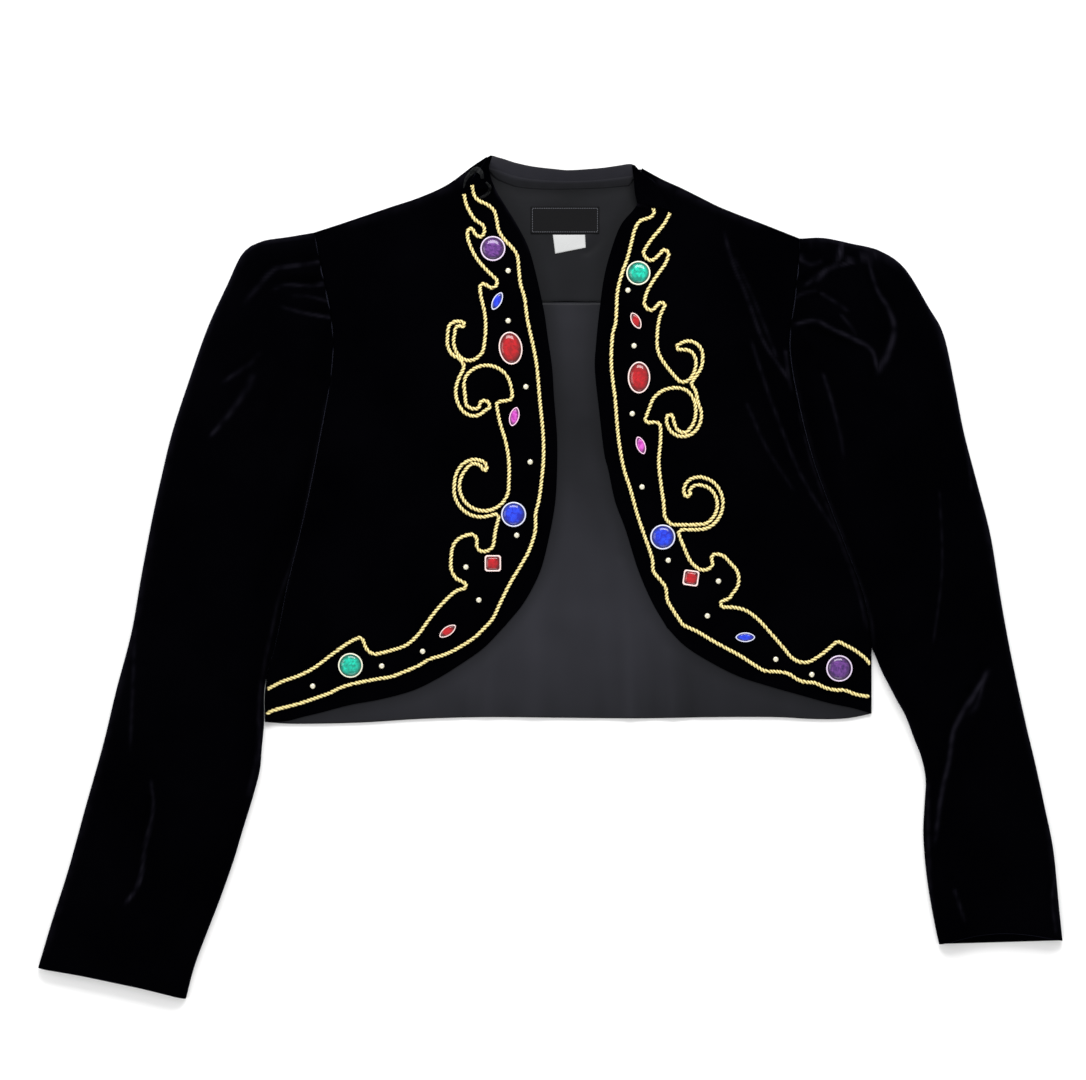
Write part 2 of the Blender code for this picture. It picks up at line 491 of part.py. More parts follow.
def sleeveTop(side, flat, crown, across):
    """Height of the upper sleeve's outer face."""
    outerEdge, innerEdge = freeEdges(side)
    rows, cols = flat.shape[:2]
    points = flat.reshape(-1, 2)
    a = np.minimum(distanceTo(outerEdge, points), distanceTo(innerEdge, points)).reshape(rows, cols)
    b = distanceTo(spline(seams[side]["armhole"], 80), points).reshape(rows, cols)
    down = np.linspace(0, 1, rows)[:, None]
    head = 1 - 0.62 * ease((across[None, :] - 0.30) / 0.6) * (1 - ease(down / 0.42))
    height = sleeveBase + crown[:, None] * head * (0.78 + 0.22 * np.sin(np.pi * across)[None, :])
    edge = rollUp(a, sleeveEdge + 0.55 * height)
    puff = rollUp(b, 6 + 0.9 * height)
    crease = foldHeight("sleeve " + side, points).reshape(rows, cols)
    z = zSleeveSeam + 0.2 + (height + crease) * edge * puff
    atSeam = zFrontEdge + 0.1
    z = np.maximum(z, np.where(b < 2.0, atSeam, zSleeveSeam + 0.2))
    return np.where(edge < 0.02, np.maximum(zSleeveSeam + 0.2, 0), z)


def sleeveBottom(side, flat):
    """Height of the under sleeve's outer face: flat on the table, rolled up at the free edges."""
    outerEdge, innerEdge = freeEdges(side)
    points = flat.reshape(-1, 2)
    a = np.minimum(distanceTo(outerEdge, points), distanceTo(innerEdge, points))
    z = (zSleeveSeam - 0.4) * (1 - rollUp(a, sleeveEdge))
    z[z < 0.02] = 0.0
    return z.reshape(flat.shape[:2])


def acrossStations(cols, near):
    """Columns across a sleeve, closer together at the two folded edges."""
    edge = np.array([0, near * 0.02, near * 0.3, near * 1.3])
    return np.concatenate([edge, sharedStations(cols)[1:-1], 1 - edge[::-1]])


def sharedStations(cols):
    """Where a sleeve's columns meet the armhole, as shares of its length."""
    near = sleeveNear * 3.2
    return np.concatenate([[0], np.linspace(near, 1 - near, cols - 8), [1]])


def bendPoints(row, step):
    """Points along one bend of the scroll."""
    kind, x, y, half, tall, start, sweep = row
    if half == 0:
        return [(x, y)]
    count = max(3, int(abs(sweep) / step) + 1)
    angles = np.radians(np.linspace(start, start + sweep, count))
    return [(x + half * math.cos(angle), y + tall * math.sin(angle)) for angle in angles]


def scrollPath(side, step):
    points = []
    for row in scroll[side]:
        points += bendPoints(row, step)
    return np.array(points)


def edgeCordPath(side, spacing):
    return spline(edgeCordRoute[side], 0, spacing)


def heightOver(tree, x, y, reach=0.0):
    """Highest point of the panel under a spot, looking reach mm around it."""
    best = None
    spots = [(0, 0)] if reach == 0 else [(0, 0)] + [
        (reach * math.cos(k * math.pi / 4), reach * math.sin(k * math.pi / 4)) for k in range(8)]
    for dx, dy in spots:
        hit = tree.ray_cast(Vector((x + dx, y + dy, 100)), Vector((0, 0, -1)))
        if hit[0] is not None and (best is None or hit[0].z > best):
            best = hit[0].z
    return best if best is not None else zFrontEdge


def layCord(tree, path, radius, gap):
    """Heights of a cord's middle line so that it clears the panel everywhere along its straight runs."""
    z = np.array([heightOver(tree, x, y, radius) + gap + radius for x, y in path])
    for _ in range(3):
        for k in range(len(path) - 1):
            for t in (0.25, 0.5, 0.75):
                x, y = path[k] + t * (path[k + 1] - path[k])
                short = heightOver(tree, x, y, radius) + gap + radius - (z[k] + t * (z[k + 1] - z[k]))
                if short > 0:
                    z[k] += short
                    z[k + 1] += short
    return np.column_stack([path, z])


def tube(name, path, radius, sides, material):
    """A round cord along a line, closed at its ends."""
    tangent = np.gradient(path, axis=0)
    tangent /= np.linalg.norm(tangent, axis=1)[:, None]
    across = np.column_stack([-tangent[:, 1], tangent[:, 0], np.zeros(len(path))])
    across /= np.linalg.norm(across, axis=1)[:, None]
    up = np.cross(tangent, across)
    up *= np.where(up[:, 2] < 0, -1, 1)[:, None]
    points = []
    for k in range(len(path)):
        for j in range(sides):
            angle = 2 * math.pi * (j + 0.5) / sides - math.pi / 2
            points.append(path[k] + radius * (math.cos(angle) * across[k] + math.sin(angle) * up[k]))
    faces = []
    for k in range(len(path) - 1):
        for j in range(sides):
            a, b = k * sides + j, k * sides + (j + 1) % sides
            faces.append((a, b, b + sides, a + sides))
    faces.append(tuple(range(sides))[::-1])
    faces.append(tuple(range((len(path) - 1) * sides, len(path) * sides)))
    p = np.array(points)
    volume = 0.0
    for f in faces:
        for k in range(1, len(f) - 1):
            volume += np.dot(p[f[0]], np.cross(p[f[k]], p[f[k + 1]]))
    if volume < 0:
        faces = [f[::-1] for f in faces]
    return addObject(name, points, faces, material)


def stoneOutline(cut, length, width, count):
    """Plan of a stone and its rim, long way along x."""
    out = []
    for k in range(count):
        angle = 2 * math.pi * k / count
        c, s = math.cos(angle), math.sin(angle)
        if cut == "square":
            m = max(abs(c), abs(s))
            grow = min(1 / m, 1.30)
            out.append((0.5 * length * c * grow, 0.5 * width * s * grow))
        elif cut == "marquise":
            out.append((0.5 * length * c, 0.5 * width * s * (0.70 + 0.30 * abs(s))))
        else:
            out.append((0.5 * length * c, 0.5 * width * s))
    return np.array(out)


def layStone(tree, row, number):
    side, cut, colour, x, y, length, width, turn = row
    count = 8 if cut == "marquise" else 16 if cut == "square" else 14
    plan = stoneOutline(cut, length, width, count)
    angle = math.radians(turn)
    turned = plan @ np.array([[math.cos(angle), math.sin(angle)], [-math.sin(angle), math.cos(angle)]])
    spots = np.vstack([turned, turned * 0.5, [[0, 0]]])
    under = np.array([heightOver(tree, x + dx, y + dy) for dx, dy in spots])
    slope, *_ = np.linalg.lstsq(np.column_stack([spots, np.ones(len(spots))]), under, rcond=None)
    lift = (under - spots @ slope[:2] - slope[2]).max() + slope[2] + layGap
    dome = stoneRise * min(1, width / 14)
    # Rings: how far out of the outline, height above the seat.
    rings = [(1.0, 0.0), (1.0, rimRise * 0.7), (0.93, rimRise), (0.84, rimRise),
             (0.62, rimRise + 0.62 * dome), (0.3, rimRise + 0.94 * dome)]
    points, faces = [], []
    for scale, rise in rings:
        for dx, dy in turned * scale:
            points.append((x + dx, y + dy, lift + slope[0] * dx + slope[1] * dy + rise))
    for k in range(len(rings) - 1):
        for j in range(count):
            a, b = k * count + j, k * count + (j + 1) % count
            faces.append((a, b, b + count, a + count))
    faces.append(tuple(range(count))[::-1])
    faces.append(tuple(range((len(rings) - 1) * count, len(rings) * count)))
    return addObject(f"stone_{number:02d}_{cut}_{colour}", points, faces, "stone_" + colour)


clearScene()
parts = bpy.data.collections.new("matador_jacket")
bpy.context.scene.collection.children.link(parts)
materials = {name: makeMaterial(name, tint) for name, tint in surfaces.items()}

# Back panel, flat on the table under everything. Its outline: neck, right sewn edge, hem, left sewn edge.
sewn = {side: np.vstack([spline(seams[side]["shoulder"], 9), armholeLine(side, underCols, 1)[1:],
                         spline(seams[side]["side"], 4)[1:]])
        for side in ("left", "right")}
neckLine = spline(backNeck, 12)
hemLine = spline(backHem, 18)
backLoop = np.vstack([neckLine, sewn["right"][1:], hemLine[::-1][1:], sewn["left"][::-1][1:-1]])
flatPanel("back", backLoop, 0.0, velvetThick, "velvet")

# Lining and neck facing on the back, side by side across the facing seam.
amounts = np.full(len(backLoop), liningInset)
amounts[:len(neckLine)] = neckInset
inner = insetLoop(backLoop, amounts)


def cutLoop(loop, y, keepAbove):
    out = []
    for a, b in zip(loop, np.roll(loop, -1, axis=0)):
        insideA, insideB = (a[1] > y) == keepAbove, (b[1] > y) == keepAbove
        if insideA:
            out.append(a)
        if insideA != insideB:
            out.append(a + (b - a) * (y - a[1]) / (b[1] - a[1]))
    return np.array(out)


flatPanel("neck_facing", cutLoop(inner, facingSeam + 0.15, True), zLining, satinThick, "satin")
flatPanel("lining", cutLoop(inner, facingSeam - 0.15, False), zLining, satinThick, "satin")

# Fronts.
frontTrees = {}
for side in ("left", "right"):
    flat = frontPlan(side, frontCols)
    z = frontTop(side, flat.reshape(-1, 2)).reshape(flat.shape[:2])
    points, faces = openSurface(np.dstack([flat, z]))
    addObject(f"front_{side}", points, faces, "velvet", frontThick)
    frontTrees[side] = BVHTree.FromPolygons([tuple(p) for p in points], [tuple(f) for f in faces])

# Sleeves: an upper and an under piece each, met along the folded edges.
for side in ("left", "right"):
    across = acrossStations(upperCols, sleeveNear)
    flat, crown = sleevePlan(side, upperCols, upperRows, across)
    flat = moveOffSeam(flat, side, armholeGap)
    z = sleeveTop(side, flat, crown, across)
    scoop = cuffScoop[side] * np.sin(np.pi * across)
    last = flat[-1] - flat[-2]
    flat[-1] -= (last / np.linalg.norm(last, axis=1)[:, None]) * scoop[:, None]
    points, faces = openSurface(np.dstack([flat, z]))
    addObject(f"sleeve_{side}_upper", points, faces, "velvet", velvetThick)
    across = acrossStations(underCols, sleeveNear)
    flat, crown = sleevePlan(side, underCols, underRows, across)
    flat = moveOffSeam(flat, side, armholeGap)
    points, faces = openSurface(np.dstack([flat, sleeveBottom(side, flat)]), up=False)
    addObject(f"sleeve_{side}_under", points, faces, "velvet", velvetThick)

# Neck band: stands at the back of the neck, its ends lie on the fronts.
band = np.array(bandSections, float)
fine = spline(band, bandRows)
grid = np.zeros((bandRows, 4, 3))
for r, (fx, fy, tx, ty, footZ, topZ) in enumerate(fine):
    for c, t in enumerate((0, 0.34, 0.7, 1)):
        grid[r, c] = (fx + t * (tx - fx), fy + t * (ty - fy), footZ + bandThick + (topZ - footZ) * t)
points, faces = openSurface(grid)
addObject("neck_band", points, faces, "velvet", bandThick)

# Labels on the neck facing.
(cx, cy), (w, h) = brandLabel["middle"], brandLabel["size"]
flatPanel("brand_label", [(cx - w / 2, cy - h / 2), (cx + w / 2, cy - h / 2), (cx + w / 2, cy + h / 2),
                          (cx - w / 2, cy + h / 2)], zLiningTop + seamGap, brandLabel["thick"], "label")
flatPanel("care_label", careLabel["corners"], zLiningTop + seamGap, careLabel["thick"], "care")

# Cord trim and stones lie on the fronts' own points, moved out.
for side in ("left", "right"):
    tree = frontTrees[side]
    tube(f"edge_cord_{side}", layCord(tree, edgeCordPath(side, edgeCordStep), cordRadius, layGap),
         cordRadius, cordSides, "cord")
    tube(f"scroll_cord_{side}", layCord(tree, scrollPath(side, scrollStep), cordRadius, layGap),
         cordRadius, cordSides, "cord")
for number, row in enumerate(stones, 1):
    layStone(frontTrees[row[0]], row, number)
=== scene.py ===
import math

import bpy
import numpy as np
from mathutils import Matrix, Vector
from mathutils.bvhtree import BVHTree


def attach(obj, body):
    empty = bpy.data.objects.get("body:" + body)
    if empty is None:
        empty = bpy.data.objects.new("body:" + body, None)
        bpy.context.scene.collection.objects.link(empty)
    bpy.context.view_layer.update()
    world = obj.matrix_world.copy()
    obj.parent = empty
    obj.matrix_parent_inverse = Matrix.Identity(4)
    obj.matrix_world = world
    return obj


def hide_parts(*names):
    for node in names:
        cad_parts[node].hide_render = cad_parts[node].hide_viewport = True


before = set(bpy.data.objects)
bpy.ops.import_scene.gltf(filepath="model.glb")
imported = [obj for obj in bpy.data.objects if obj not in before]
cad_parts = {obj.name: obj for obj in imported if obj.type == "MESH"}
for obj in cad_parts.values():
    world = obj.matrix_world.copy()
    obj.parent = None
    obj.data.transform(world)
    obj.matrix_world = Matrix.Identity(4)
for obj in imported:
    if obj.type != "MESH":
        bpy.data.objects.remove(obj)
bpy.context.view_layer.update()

cloth = {
    "velvetThick": 1.4, "frontThick": 1.6, "satinThick": 1.0,
    "liningTop": 2.7,        # upper face of the lining
    "frontEdge": 4.8,        # upper face of a front along its edges
    "sleeveSeam": 2.9,       # where upper and under sleeve meet
    "sleeveEdge": 5.0,       # how far in from its folded edge a flat sleeve is rounded
    "sleeveBase": 5.0,       # height of a sleeve without its crown
    "frontCrown": 3.2,       # how far the middle of a front stands above its edges
    "armholeGap": 0.15, "edgeRound": 1.7, "seamAllowance": 0.1,
}

seams = {
    "left": {
        "shoulder": [(-52, 344.5), (-64, 336.5), (-84.5, 321.5), (-107.5, 311), (-131.5, 303),
                     (-171.5, 289.5), (-193, 282.5)],
        "armhole": [(-193, 282.5), (-189.5, 263.5), (-184.5, 239.5), (-180, 217.5), (-177.5, 194.5),
                    (-178, 177.5), (-180.5, 157), (-187, 121), (-196, 75), (-205, 34.5), (-215, -6.5),
                    (-224, -51.5), (-231.5, -77.5)],
        "side": [(-231.5, -77.5), (-234, -98), (-233.5, -118.5)],
        "edge": [(-52, 344.5), (-49.5, 330.5), (-44.5, 317), (-37, 304.5), (-25.5, 285.5), (-16, 264.5),
                 (-6, 222.5), (-2, 196), (1.5, 171.5), (3, 148), (5.5, 115), (5.5, 88), (4, 61.5),
                 (-1, 33), (-8.5, 4.5), (-21.5, -20.5), (-36.5, -39)],
        "sweep": [(-36.5, -39), (-54.5, -57.7), (-75.5, -72.5), (-93.5, -83.5), (-113.5, -93),
                  (-139.5, -100), (-164, -104.5), (-187, -110.5), (-203.5, -114.5), (-217.5, -118),
                  (-233.5, -118.5)],
    },
    "right": {
        "shoulder": [(75, 335), (91.5, 326), (108, 318.5), (125, 310), (141.5, 302), (175, 289),
                     (204, 277.5)],
        "armhole": [(204, 277.5), (203, 257), (200, 227.5), (196.5, 203), (196.5, 180.5), (203, 143),
                    (214, 99.5), (227.5, 61.5), (241.5, 25.5), (252.5, -3), (259.5, -27), (263, -56.5)],
        "side": [(263, -56.5), (263, -84), (263, -111.5)],
        "edge": [(75, 335), (72, 321), (71, 305.5), (58, 289), (50, 268.5), (44, 245.5), (40, 216.5),
                 (37.5, 191.5), (36.5, 170), (40, 136.5), (44, 102.5), (47.5, 88), (53, 62.5),
                 (61.5, 39.5), (72, 6), (83.5, -20.5), (95.5, -41)],
        "sweep": [(95.5, -41), (109.5, -55.5), (128.5, -68), (154, -81), (182, -90), (205, -96.5),
                  (228.5, -103), (247.5, -107), (263, -111.5)],
    },
}


def toLinear(hexColour):
    # an sRGB hex colour as linear values
    values = [int(hexColour[k:k + 2], 16) / 255 for k in (1, 3, 5)]
    return tuple([v / 12.92 if v <= 0.04045 else ((v + 0.055) / 1.055) ** 2.4 for v in values] + [1.0])


def spline(points, count, spacing=None):
    # a smooth line through the points, at evenly spaced stations
    p = np.array(points, float)
    ends = np.vstack([2 * p[0] - p[1], p, 2 * p[-1] - p[-2]])
    fine = []
    for a, b, c, d in zip(ends[:-3], ends[1:-2], ends[2:-1], ends[3:]):
        for t in np.linspace(0, 1, 16, endpoint=False):
            fine.append(0.5 * (2 * b + (c - a) * t + (2 * a - 5 * b + 4 * c - d) * t * t
                               + (3 * b - a - 3 * c + d) * t ** 3))
    fine = np.vstack([fine, p[-1]])
    lengths = np.concatenate([[0], np.cumsum(np.linalg.norm(np.diff(fine, axis=0), axis=1))])
    if spacing:
        count = max(2, int(round(lengths[-1] / spacing)) + 1)
    at = np.linspace(0, lengths[-1], count)
    return np.column_stack([np.interp(at, lengths, fine[:, k]) for k in range(p.shape[1])])


def nearestOn(line, points):
    # distance of each point from the line, and the share of the line's length there
    best, share = np.full(len(points), 1e9), np.zeros(len(points))
    for k, (start, end) in enumerate(zip(line[:-1], line[1:])):
        step = end - start
        along = np.clip((points - start) @ step / max(step @ step, 1e-9), 0, 1)
        away = np.linalg.norm(points - start - along[:, None] * step, axis=1)
        closer = away < best
        best[closer] = away[closer]
        share[closer] = ((k + along) / (len(line) - 1))[closer]
    return best, share


def distanceTo(line, points):
    return nearestOn(line, points)[0]


def rollUp(distance, radius):
    # a rounded edge: 0 at the edge, 1 from the radius inward
    t = np.clip(distance / radius, 0, 1)
    return np.sqrt(1 - (1 - t) ** 2)


def ease(t):
    # 0 to 1 with a soft start and end
    t = np.clip(t, 0, 1)
    return t * t * (3 - 2 * t)


def foldHeight(points, rows):
    # height that soft folds add at each point; a row is given as in the tables of folds
    total = np.zeros(len(points))
    for path, width, height, endWidth, endHeight in rows:
        away, share = nearestOn(spline(path, 14), points)
        wide = width + (endWidth - width) * share
        total += (height + (endHeight - height) * share) * np.exp(-(away / (0.5 * wide)) ** 2)
    return total


def paintedSheenLines(points, rows):
    # painted sheen at each point: pale lines where the pile catches light on folds, seams and edges, patchy
    # along every line; a real crease is a hairline, so each line is drawn at least 2.6 mm wide and fainter
    total = np.zeros(len(points))
    patches = 0.75 + 0.9 * ripple(points, 11, 61)
    for path, width, strength, endWidth, endStrength in rows:
        away, share = nearestOn(spline(path, 30), points)
        wide = np.maximum(width + (endWidth - width) * share, 2.6)
        tip = ease(share / 0.06 + 0.3) * ease((1 - share) / 0.1 + 0.2)
        mark = (strength + (endStrength - strength) * share) * np.exp(-(away / (0.5 * wide)) ** 2) * tip
        total = np.maximum(total, mark * np.clip(patches, 0.2, 1.0))
    return np.clip(0.33 * total, 0, 1)


def addTone(obj, name, values):
    # a shade per point; on a shell the outer face's values serve the inner face too
    layer = obj.data.attributes.new(name, "FLOAT", "POINT")
    layer.data.foreach_set("value", np.resize(values, len(obj.data.vertices)))


def ripple(points, length, seed):
    # slow uneven waves, summed from a few directions
    source = np.random.default_rng(seed)
    total = np.zeros(len(points))
    for k in range(7):
        angle, phase = source.uniform(0, math.pi), source.uniform(0, 2 * math.pi)
        scale = length * source.uniform(0.6, 1.7)
        along = points[:, 0] * math.cos(angle) + points[:, 1] * math.sin(angle)
        total += np.sin(2 * math.pi * along / scale + phase)
    return total / 7


def meshObject(name, points, faces, material, smooth=True):
    # a mesh piece from points in millimetres
    mesh = bpy.data.meshes.new(name)
    mesh.from_pydata((np.asarray(points, float) * 0.001).tolist(), [], [list(f) for f in faces])
    mesh.materials.append(material)
    mesh.polygons.foreach_set("use_smooth", [smooth] * len(mesh.polygons))
    mesh.update()
    obj = bpy.data.objects.new(name, mesh)
    bpy.context.scene.collection.objects.link(obj)
    return obj


def gridNormals(grid):
    # unit normals of a grid of points, facing up
    across = np.gradient(grid, axis=1)
    down = np.gradient(grid, axis=0)
    normal = np.cross(across, down)
    if normal[:, :, 2].sum() < 0:
        normal = -normal
    return normal / np.linalg.norm(normal, axis=2)[:, :, None]


def shell(name, grid, thick, material, up=True, hold=None, straight=False):
    # a cloth wall of the given thickness under (or over) the grid's outer face, closed round its rim;
    # straight takes the thickness straight down, for a nearly flat piece
    rows, cols = grid.shape[:2]
    normal = np.array([0.0, 0.0, 1.0]) if straight else gridNormals(grid) * (1 if up else -1)
    inner = grid - normal * thick
    if hold is not None:
        inner[:, :, 2] = np.maximum(inner[:, :, 2], hold) if up else np.minimum(inner[:, :, 2], hold)
    points = np.vstack([grid.reshape(-1, 3), inner.reshape(-1, 3)])
    n = rows * cols
    index = np.arange(n).reshape(rows, cols)
    front = np.column_stack([index[:-1, :-1].ravel(), index[:-1, 1:].ravel(),
                             index[1:, 1:].ravel(), index[1:, :-1].ravel()])
    corner = points[front[:, :3]]
    look = np.cross(corner[:, 1] - corner[:, 0], corner[:, 2] - corner[:, 0])[:, 2].sum()
    if (look > 0) != up:
        front = front[:, ::-1]
    back = front[:, ::-1] + n
    loop = np.concatenate([index[0, :], index[1:, -1], index[-1, ::-1][1:], index[::-1, 0][1:-1]])
    after = np.roll(loop, -1)
    rim = np.column_stack([loop, after, after + n, loop + n])
    forward = {tuple(e) for f in front for e in zip(f, np.roll(f, -1))}
    if (loop[0], loop[1]) in forward:
        rim = rim[:, ::-1]
    return meshObject(name, points, np.vstack([front, back, rim]).tolist(), material)


def coons(top, bottom, left, right, u, v):
    v, u = v[:, None, None], u[None, :, None]
    # a grid between four edge lines, its inside blended from all of them
    flat = (1 - v) * top[None] + v * bottom[None] + (1 - u) * left[:, None] + u * right[:, None]
    flat -= ((1 - v) * ((1 - u) * top[0] + u * top[-1]) + v * ((1 - u) * bottom[0] + u * bottom[-1]))
    return flat


def lineAt(line, at):
    # points of a line at the given shares of its length
    fine = spline(line, 600)
    return np.column_stack([np.interp(at, np.linspace(0, 1, 600), fine[:, k]) for k in range(2)])


def treeOf(*pieces):
    # a search tree of the pieces' faces, in millimetres
    points, faces = [], []
    for piece in pieces:
        spots = np.empty(len(piece.data.vertices) * 3)
        piece.data.vertices.foreach_get("co", spots)
        faces += [tuple(k + len(points) for k in p.vertices) for p in piece.data.polygons]
        points += (spots.reshape(-1, 3) * 1000).tolist()
    return BVHTree.FromPolygons(points, faces)


def heightOver(tree, x, y, fallback):
    # height of the surface straight below
    hit = tree.ray_cast(Vector((x, y, 100)), Vector((0, 0, -1)))
    return hit[0].z if hit[0] is not None else fallback


def softened(values, times):
    # each height drawn toward its neighbours, the given number of times
    for _ in range(times):
        between = 0.25 * values[:-2] + 0.5 * values[1:-1] + 0.25 * values[2:]
        values = np.concatenate([values[:1], between, values[-1:]])
    return values


def addNode(tree, kind, settings=None, links=None):
    # one node with its settings; links maps an input's name to the socket that feeds it
    node = tree.nodes.new(kind)
    for key, value in (settings or {}).items():
        if key in node.inputs:
            node.inputs[key].default_value = value
        else:
            setattr(node, key, value)
    for key, source in (links or {}).items():
        tree.links.new(source, node.inputs[key])
    return node


def newMaterial(name, settings):
    # a material with its shader's settings, its node tree and its shader
    material = bpy.data.materials.new(name)
    material.use_nodes = True
    shader = material.node_tree.nodes["Principled BSDF"]
    for key, value in settings.items():
        shader.inputs[key].default_value = value
    return material, material.node_tree, shader


print("materials")
# Cotton velvet: black pile that swallows light, with a faint cool sheen where the nap turns away.
velvet, tree, shader = newMaterial("cotton velvet, short black pile", {
    "Roughness": 0.95, "Specular IOR Level": 0.0,
    "Sheen Weight": 0.06, "Sheen Roughness": 0.25, "Sheen Tint": toLinear("#9A9DBE")})
# the pile attribute holds painted sheen: pale lines where folds, seams and the sleeves' edges catch the
# light
pile = addNode(tree, "ShaderNodeAttribute", {"attribute_name": "pile"})
cloud = addNode(tree, "ShaderNodeTexNoise", {"Scale": 14.0, "Detail": 3.0})     # clouds about 70 mm wide
patchy = addNode(tree, "ShaderNodeMapRange",
                 {"From Min": 0.35, "From Max": 0.7, "To Min": 0.0, "To Max": 0.01},
                 {"Value": cloud.outputs["Fac"]})
# painted sheen lines plus random cloudy patches of tone, from black up to a pale grey-violet painted sheen
paintedSheenAndPatches = addNode(tree, "ShaderNodeMath", {"operation": "ADD"},
                 {0: pile.outputs["Fac"], 1: patchy.outputs["Result"]})
tone = addNode(tree, "ShaderNodeValToRGB", None, {"Fac": paintedSheenAndPatches.outputs["Value"]})
tone.color_ramp.elements[0].color = toLinear("#010102")
tone.color_ramp.elements[1].color = toLinear("#312F3A")
tree.links.new(tone.outputs["Color"], shader.inputs["Base Color"])
place = addNode(tree, "ShaderNodeTexCoord")
tree.links.new(place.outputs["Object"], cloud.inputs["Vector"])
# real tufts are about 0.3 mm apart, too fine to show, so they are drawn about 1.1 mm apart
nap = addNode(tree, "ShaderNodeTexNoise", {"Scale": 900.0, "Detail": 3.0},
              {"Vector": place.outputs["Object"]})
bump = addNode(tree, "ShaderNodeBump", {"Strength": 0.25, "Distance": 0.0003},
               {"Height": nap.outputs["Fac"]})
tree.links.new(bump.outputs["Normal"], shader.inputs["Normal"])

# Satin lining: charcoal, a smooth soft gloss, faintly uneven; its colour carries painted light and
# shade, paler where the light falls and darker in shade, with soft streaks of painted sheen.
satin, tree, shader = newMaterial("charcoal satin lining, smooth", {
    "Roughness": 0.45, "Specular IOR Level": 0.1, "Sheen Weight": 0.02, "Sheen Tint": toLinear("#C9CAD6")})
# the gloss attribute holds the painted light and shade of each satin piece
gloss = addNode(tree, "ShaderNodeAttribute", {"attribute_name": "gloss"})
tone = addNode(tree, "ShaderNodeValToRGB", None, {"Fac": gloss.outputs["Fac"]})
tone.color_ramp.elements[0].color = toLinear("#040506")
tone.color_ramp.elements[1].color = toLinear("#33333A")
tree.links.new(tone.outputs["Color"], shader.inputs["Base Color"])
place = addNode(tree, "ShaderNodeTexCoord")
# the threads, about 0.1 mm, are too fine to show, so the weave is drawn as soft spots about 4 mm wide
weave = addNode(tree, "ShaderNodeTexNoise", {"Scale": 240.0, "Detail": 2.0},
                {"Vector": place.outputs["Object"]})
bump = addNode(tree, "ShaderNodeBump", {"Strength": 0.12, "Distance": 0.0004},
               {"Height": weave.outputs["Fac"]})
tree.links.new(bump.outputs["Normal"], shader.inputs["Normal"])

# Gilt twisted cord: pale gold thread, half metallic; painted shade darkens it to brown where a strand
# dips under the other.
cordStuff, tree, shader = newMaterial("gilt twisted cord, pale gold", {"Metallic": 0.3, "Roughness": 0.42})
lift = addNode(tree, "ShaderNodeAttribute", {"attribute_name": "lift"})
tone = addNode(tree, "ShaderNodeValToRGB", None, {"Fac": lift.outputs["Fac"]})
tone.color_ramp.elements[0].position, tone.color_ramp.elements[0].color = 0.12, toLinear("#8E7236")
tone.color_ramp.elements[1].position, tone.color_ramp.elements[1].color = 0.7, toLinear("#EADB9A")
tree.links.new(tone.outputs["Color"], shader.inputs["Base Color"])
place = addNode(tree, "ShaderNodeTexCoord")
# metal threads about 0.55 mm apart, a little coarser than real ones
thread = addNode(tree, "ShaderNodeTexNoise", {"Scale": 1800.0, "Detail": 2.0},
                 {"Vector": place.outputs["Object"]})
bump = addNode(tree, "ShaderNodeBump", {"Strength": 0.35, "Distance": 0.0002},
               {"Height": thread.outputs["Fac"]})
tree.links.new(bump.outputs["Normal"], shader.inputs["Normal"])

# Acrylic cabochon over foil: strong colour and hard clear gloss; the foil's reflection is painted as a
# mottled bright middle, and painted shade darkens it toward the rim. Each colour has a deep and a bright
# tone.
stoneColours = {"purple": ("#351056", "#6E3A8C"), "blue": ("#0818A6", "#1A45E6"),
                "red": ("#8A000A", "#B60414"), "pink": ("#9C2390", "#D458C6"),
                "green": ("#00806C", "#00CAAA")}
stoneStuff = {}
for colour, (deep, bright) in stoneColours.items():
    stoneStuff[colour], tree, shader = newMaterial("acrylic cabochon over foil, " + colour, {
        "Roughness": 0.14, "IOR": 1.49, "Specular IOR Level": 0.25,
        "Coat Weight": 0.65, "Coat Roughness": 0.03})
    place = addNode(tree, "ShaderNodeTexCoord")
    # creases of the foil about 4 mm wide, their glints painted as bright patches
    crumple = addNode(tree, "ShaderNodeTexNoise", {"Scale": 260.0, "Detail": 3.0, "Distortion": 1.2},
                      {"Vector": place.outputs["Object"]})
    fromMiddle = addNode(tree, "ShaderNodeVectorMath", {"operation": "SUBTRACT"},
                         {0: place.outputs["Generated"]})
    fromMiddle.inputs[1].default_value = (0.5, 0.5, 0.5)
    flatten = addNode(tree, "ShaderNodeVectorMath", {"operation": "MULTIPLY"},
                      {0: fromMiddle.outputs["Vector"]})
    flatten.inputs[1].default_value = (1.0, 1.0, 0.0)
    away = addNode(tree, "ShaderNodeVectorMath", {"operation": "LENGTH"}, {0: flatten.outputs["Vector"]})
    # painted shade toward the rim
    paintedRimShade = addNode(tree, "ShaderNodeMapRange",
                       {"From Min": 0.30, "From Max": 0.49, "To Min": 1.0, "To Max": 0.22},
                       {"Value": away.outputs["Value"]})
    foil = addNode(tree, "ShaderNodeValToRGB", None, {"Fac": crumple.outputs["Fac"]})
    foil.color_ramp.elements[0].position, foil.color_ramp.elements[0].color = 0.36, toLinear(deep)
    foil.color_ramp.elements[1].position, foil.color_ramp.elements[1].color = 0.66, toLinear(bright)
    shade = addNode(tree, "ShaderNodeVectorMath", {"operation": "MULTIPLY"},
                    {0: foil.outputs["Color"], 1: paintedRimShade.outputs["Result"]})
    tree.links.new(shade.outputs["Vector"], shader.inputs["Base Color"])
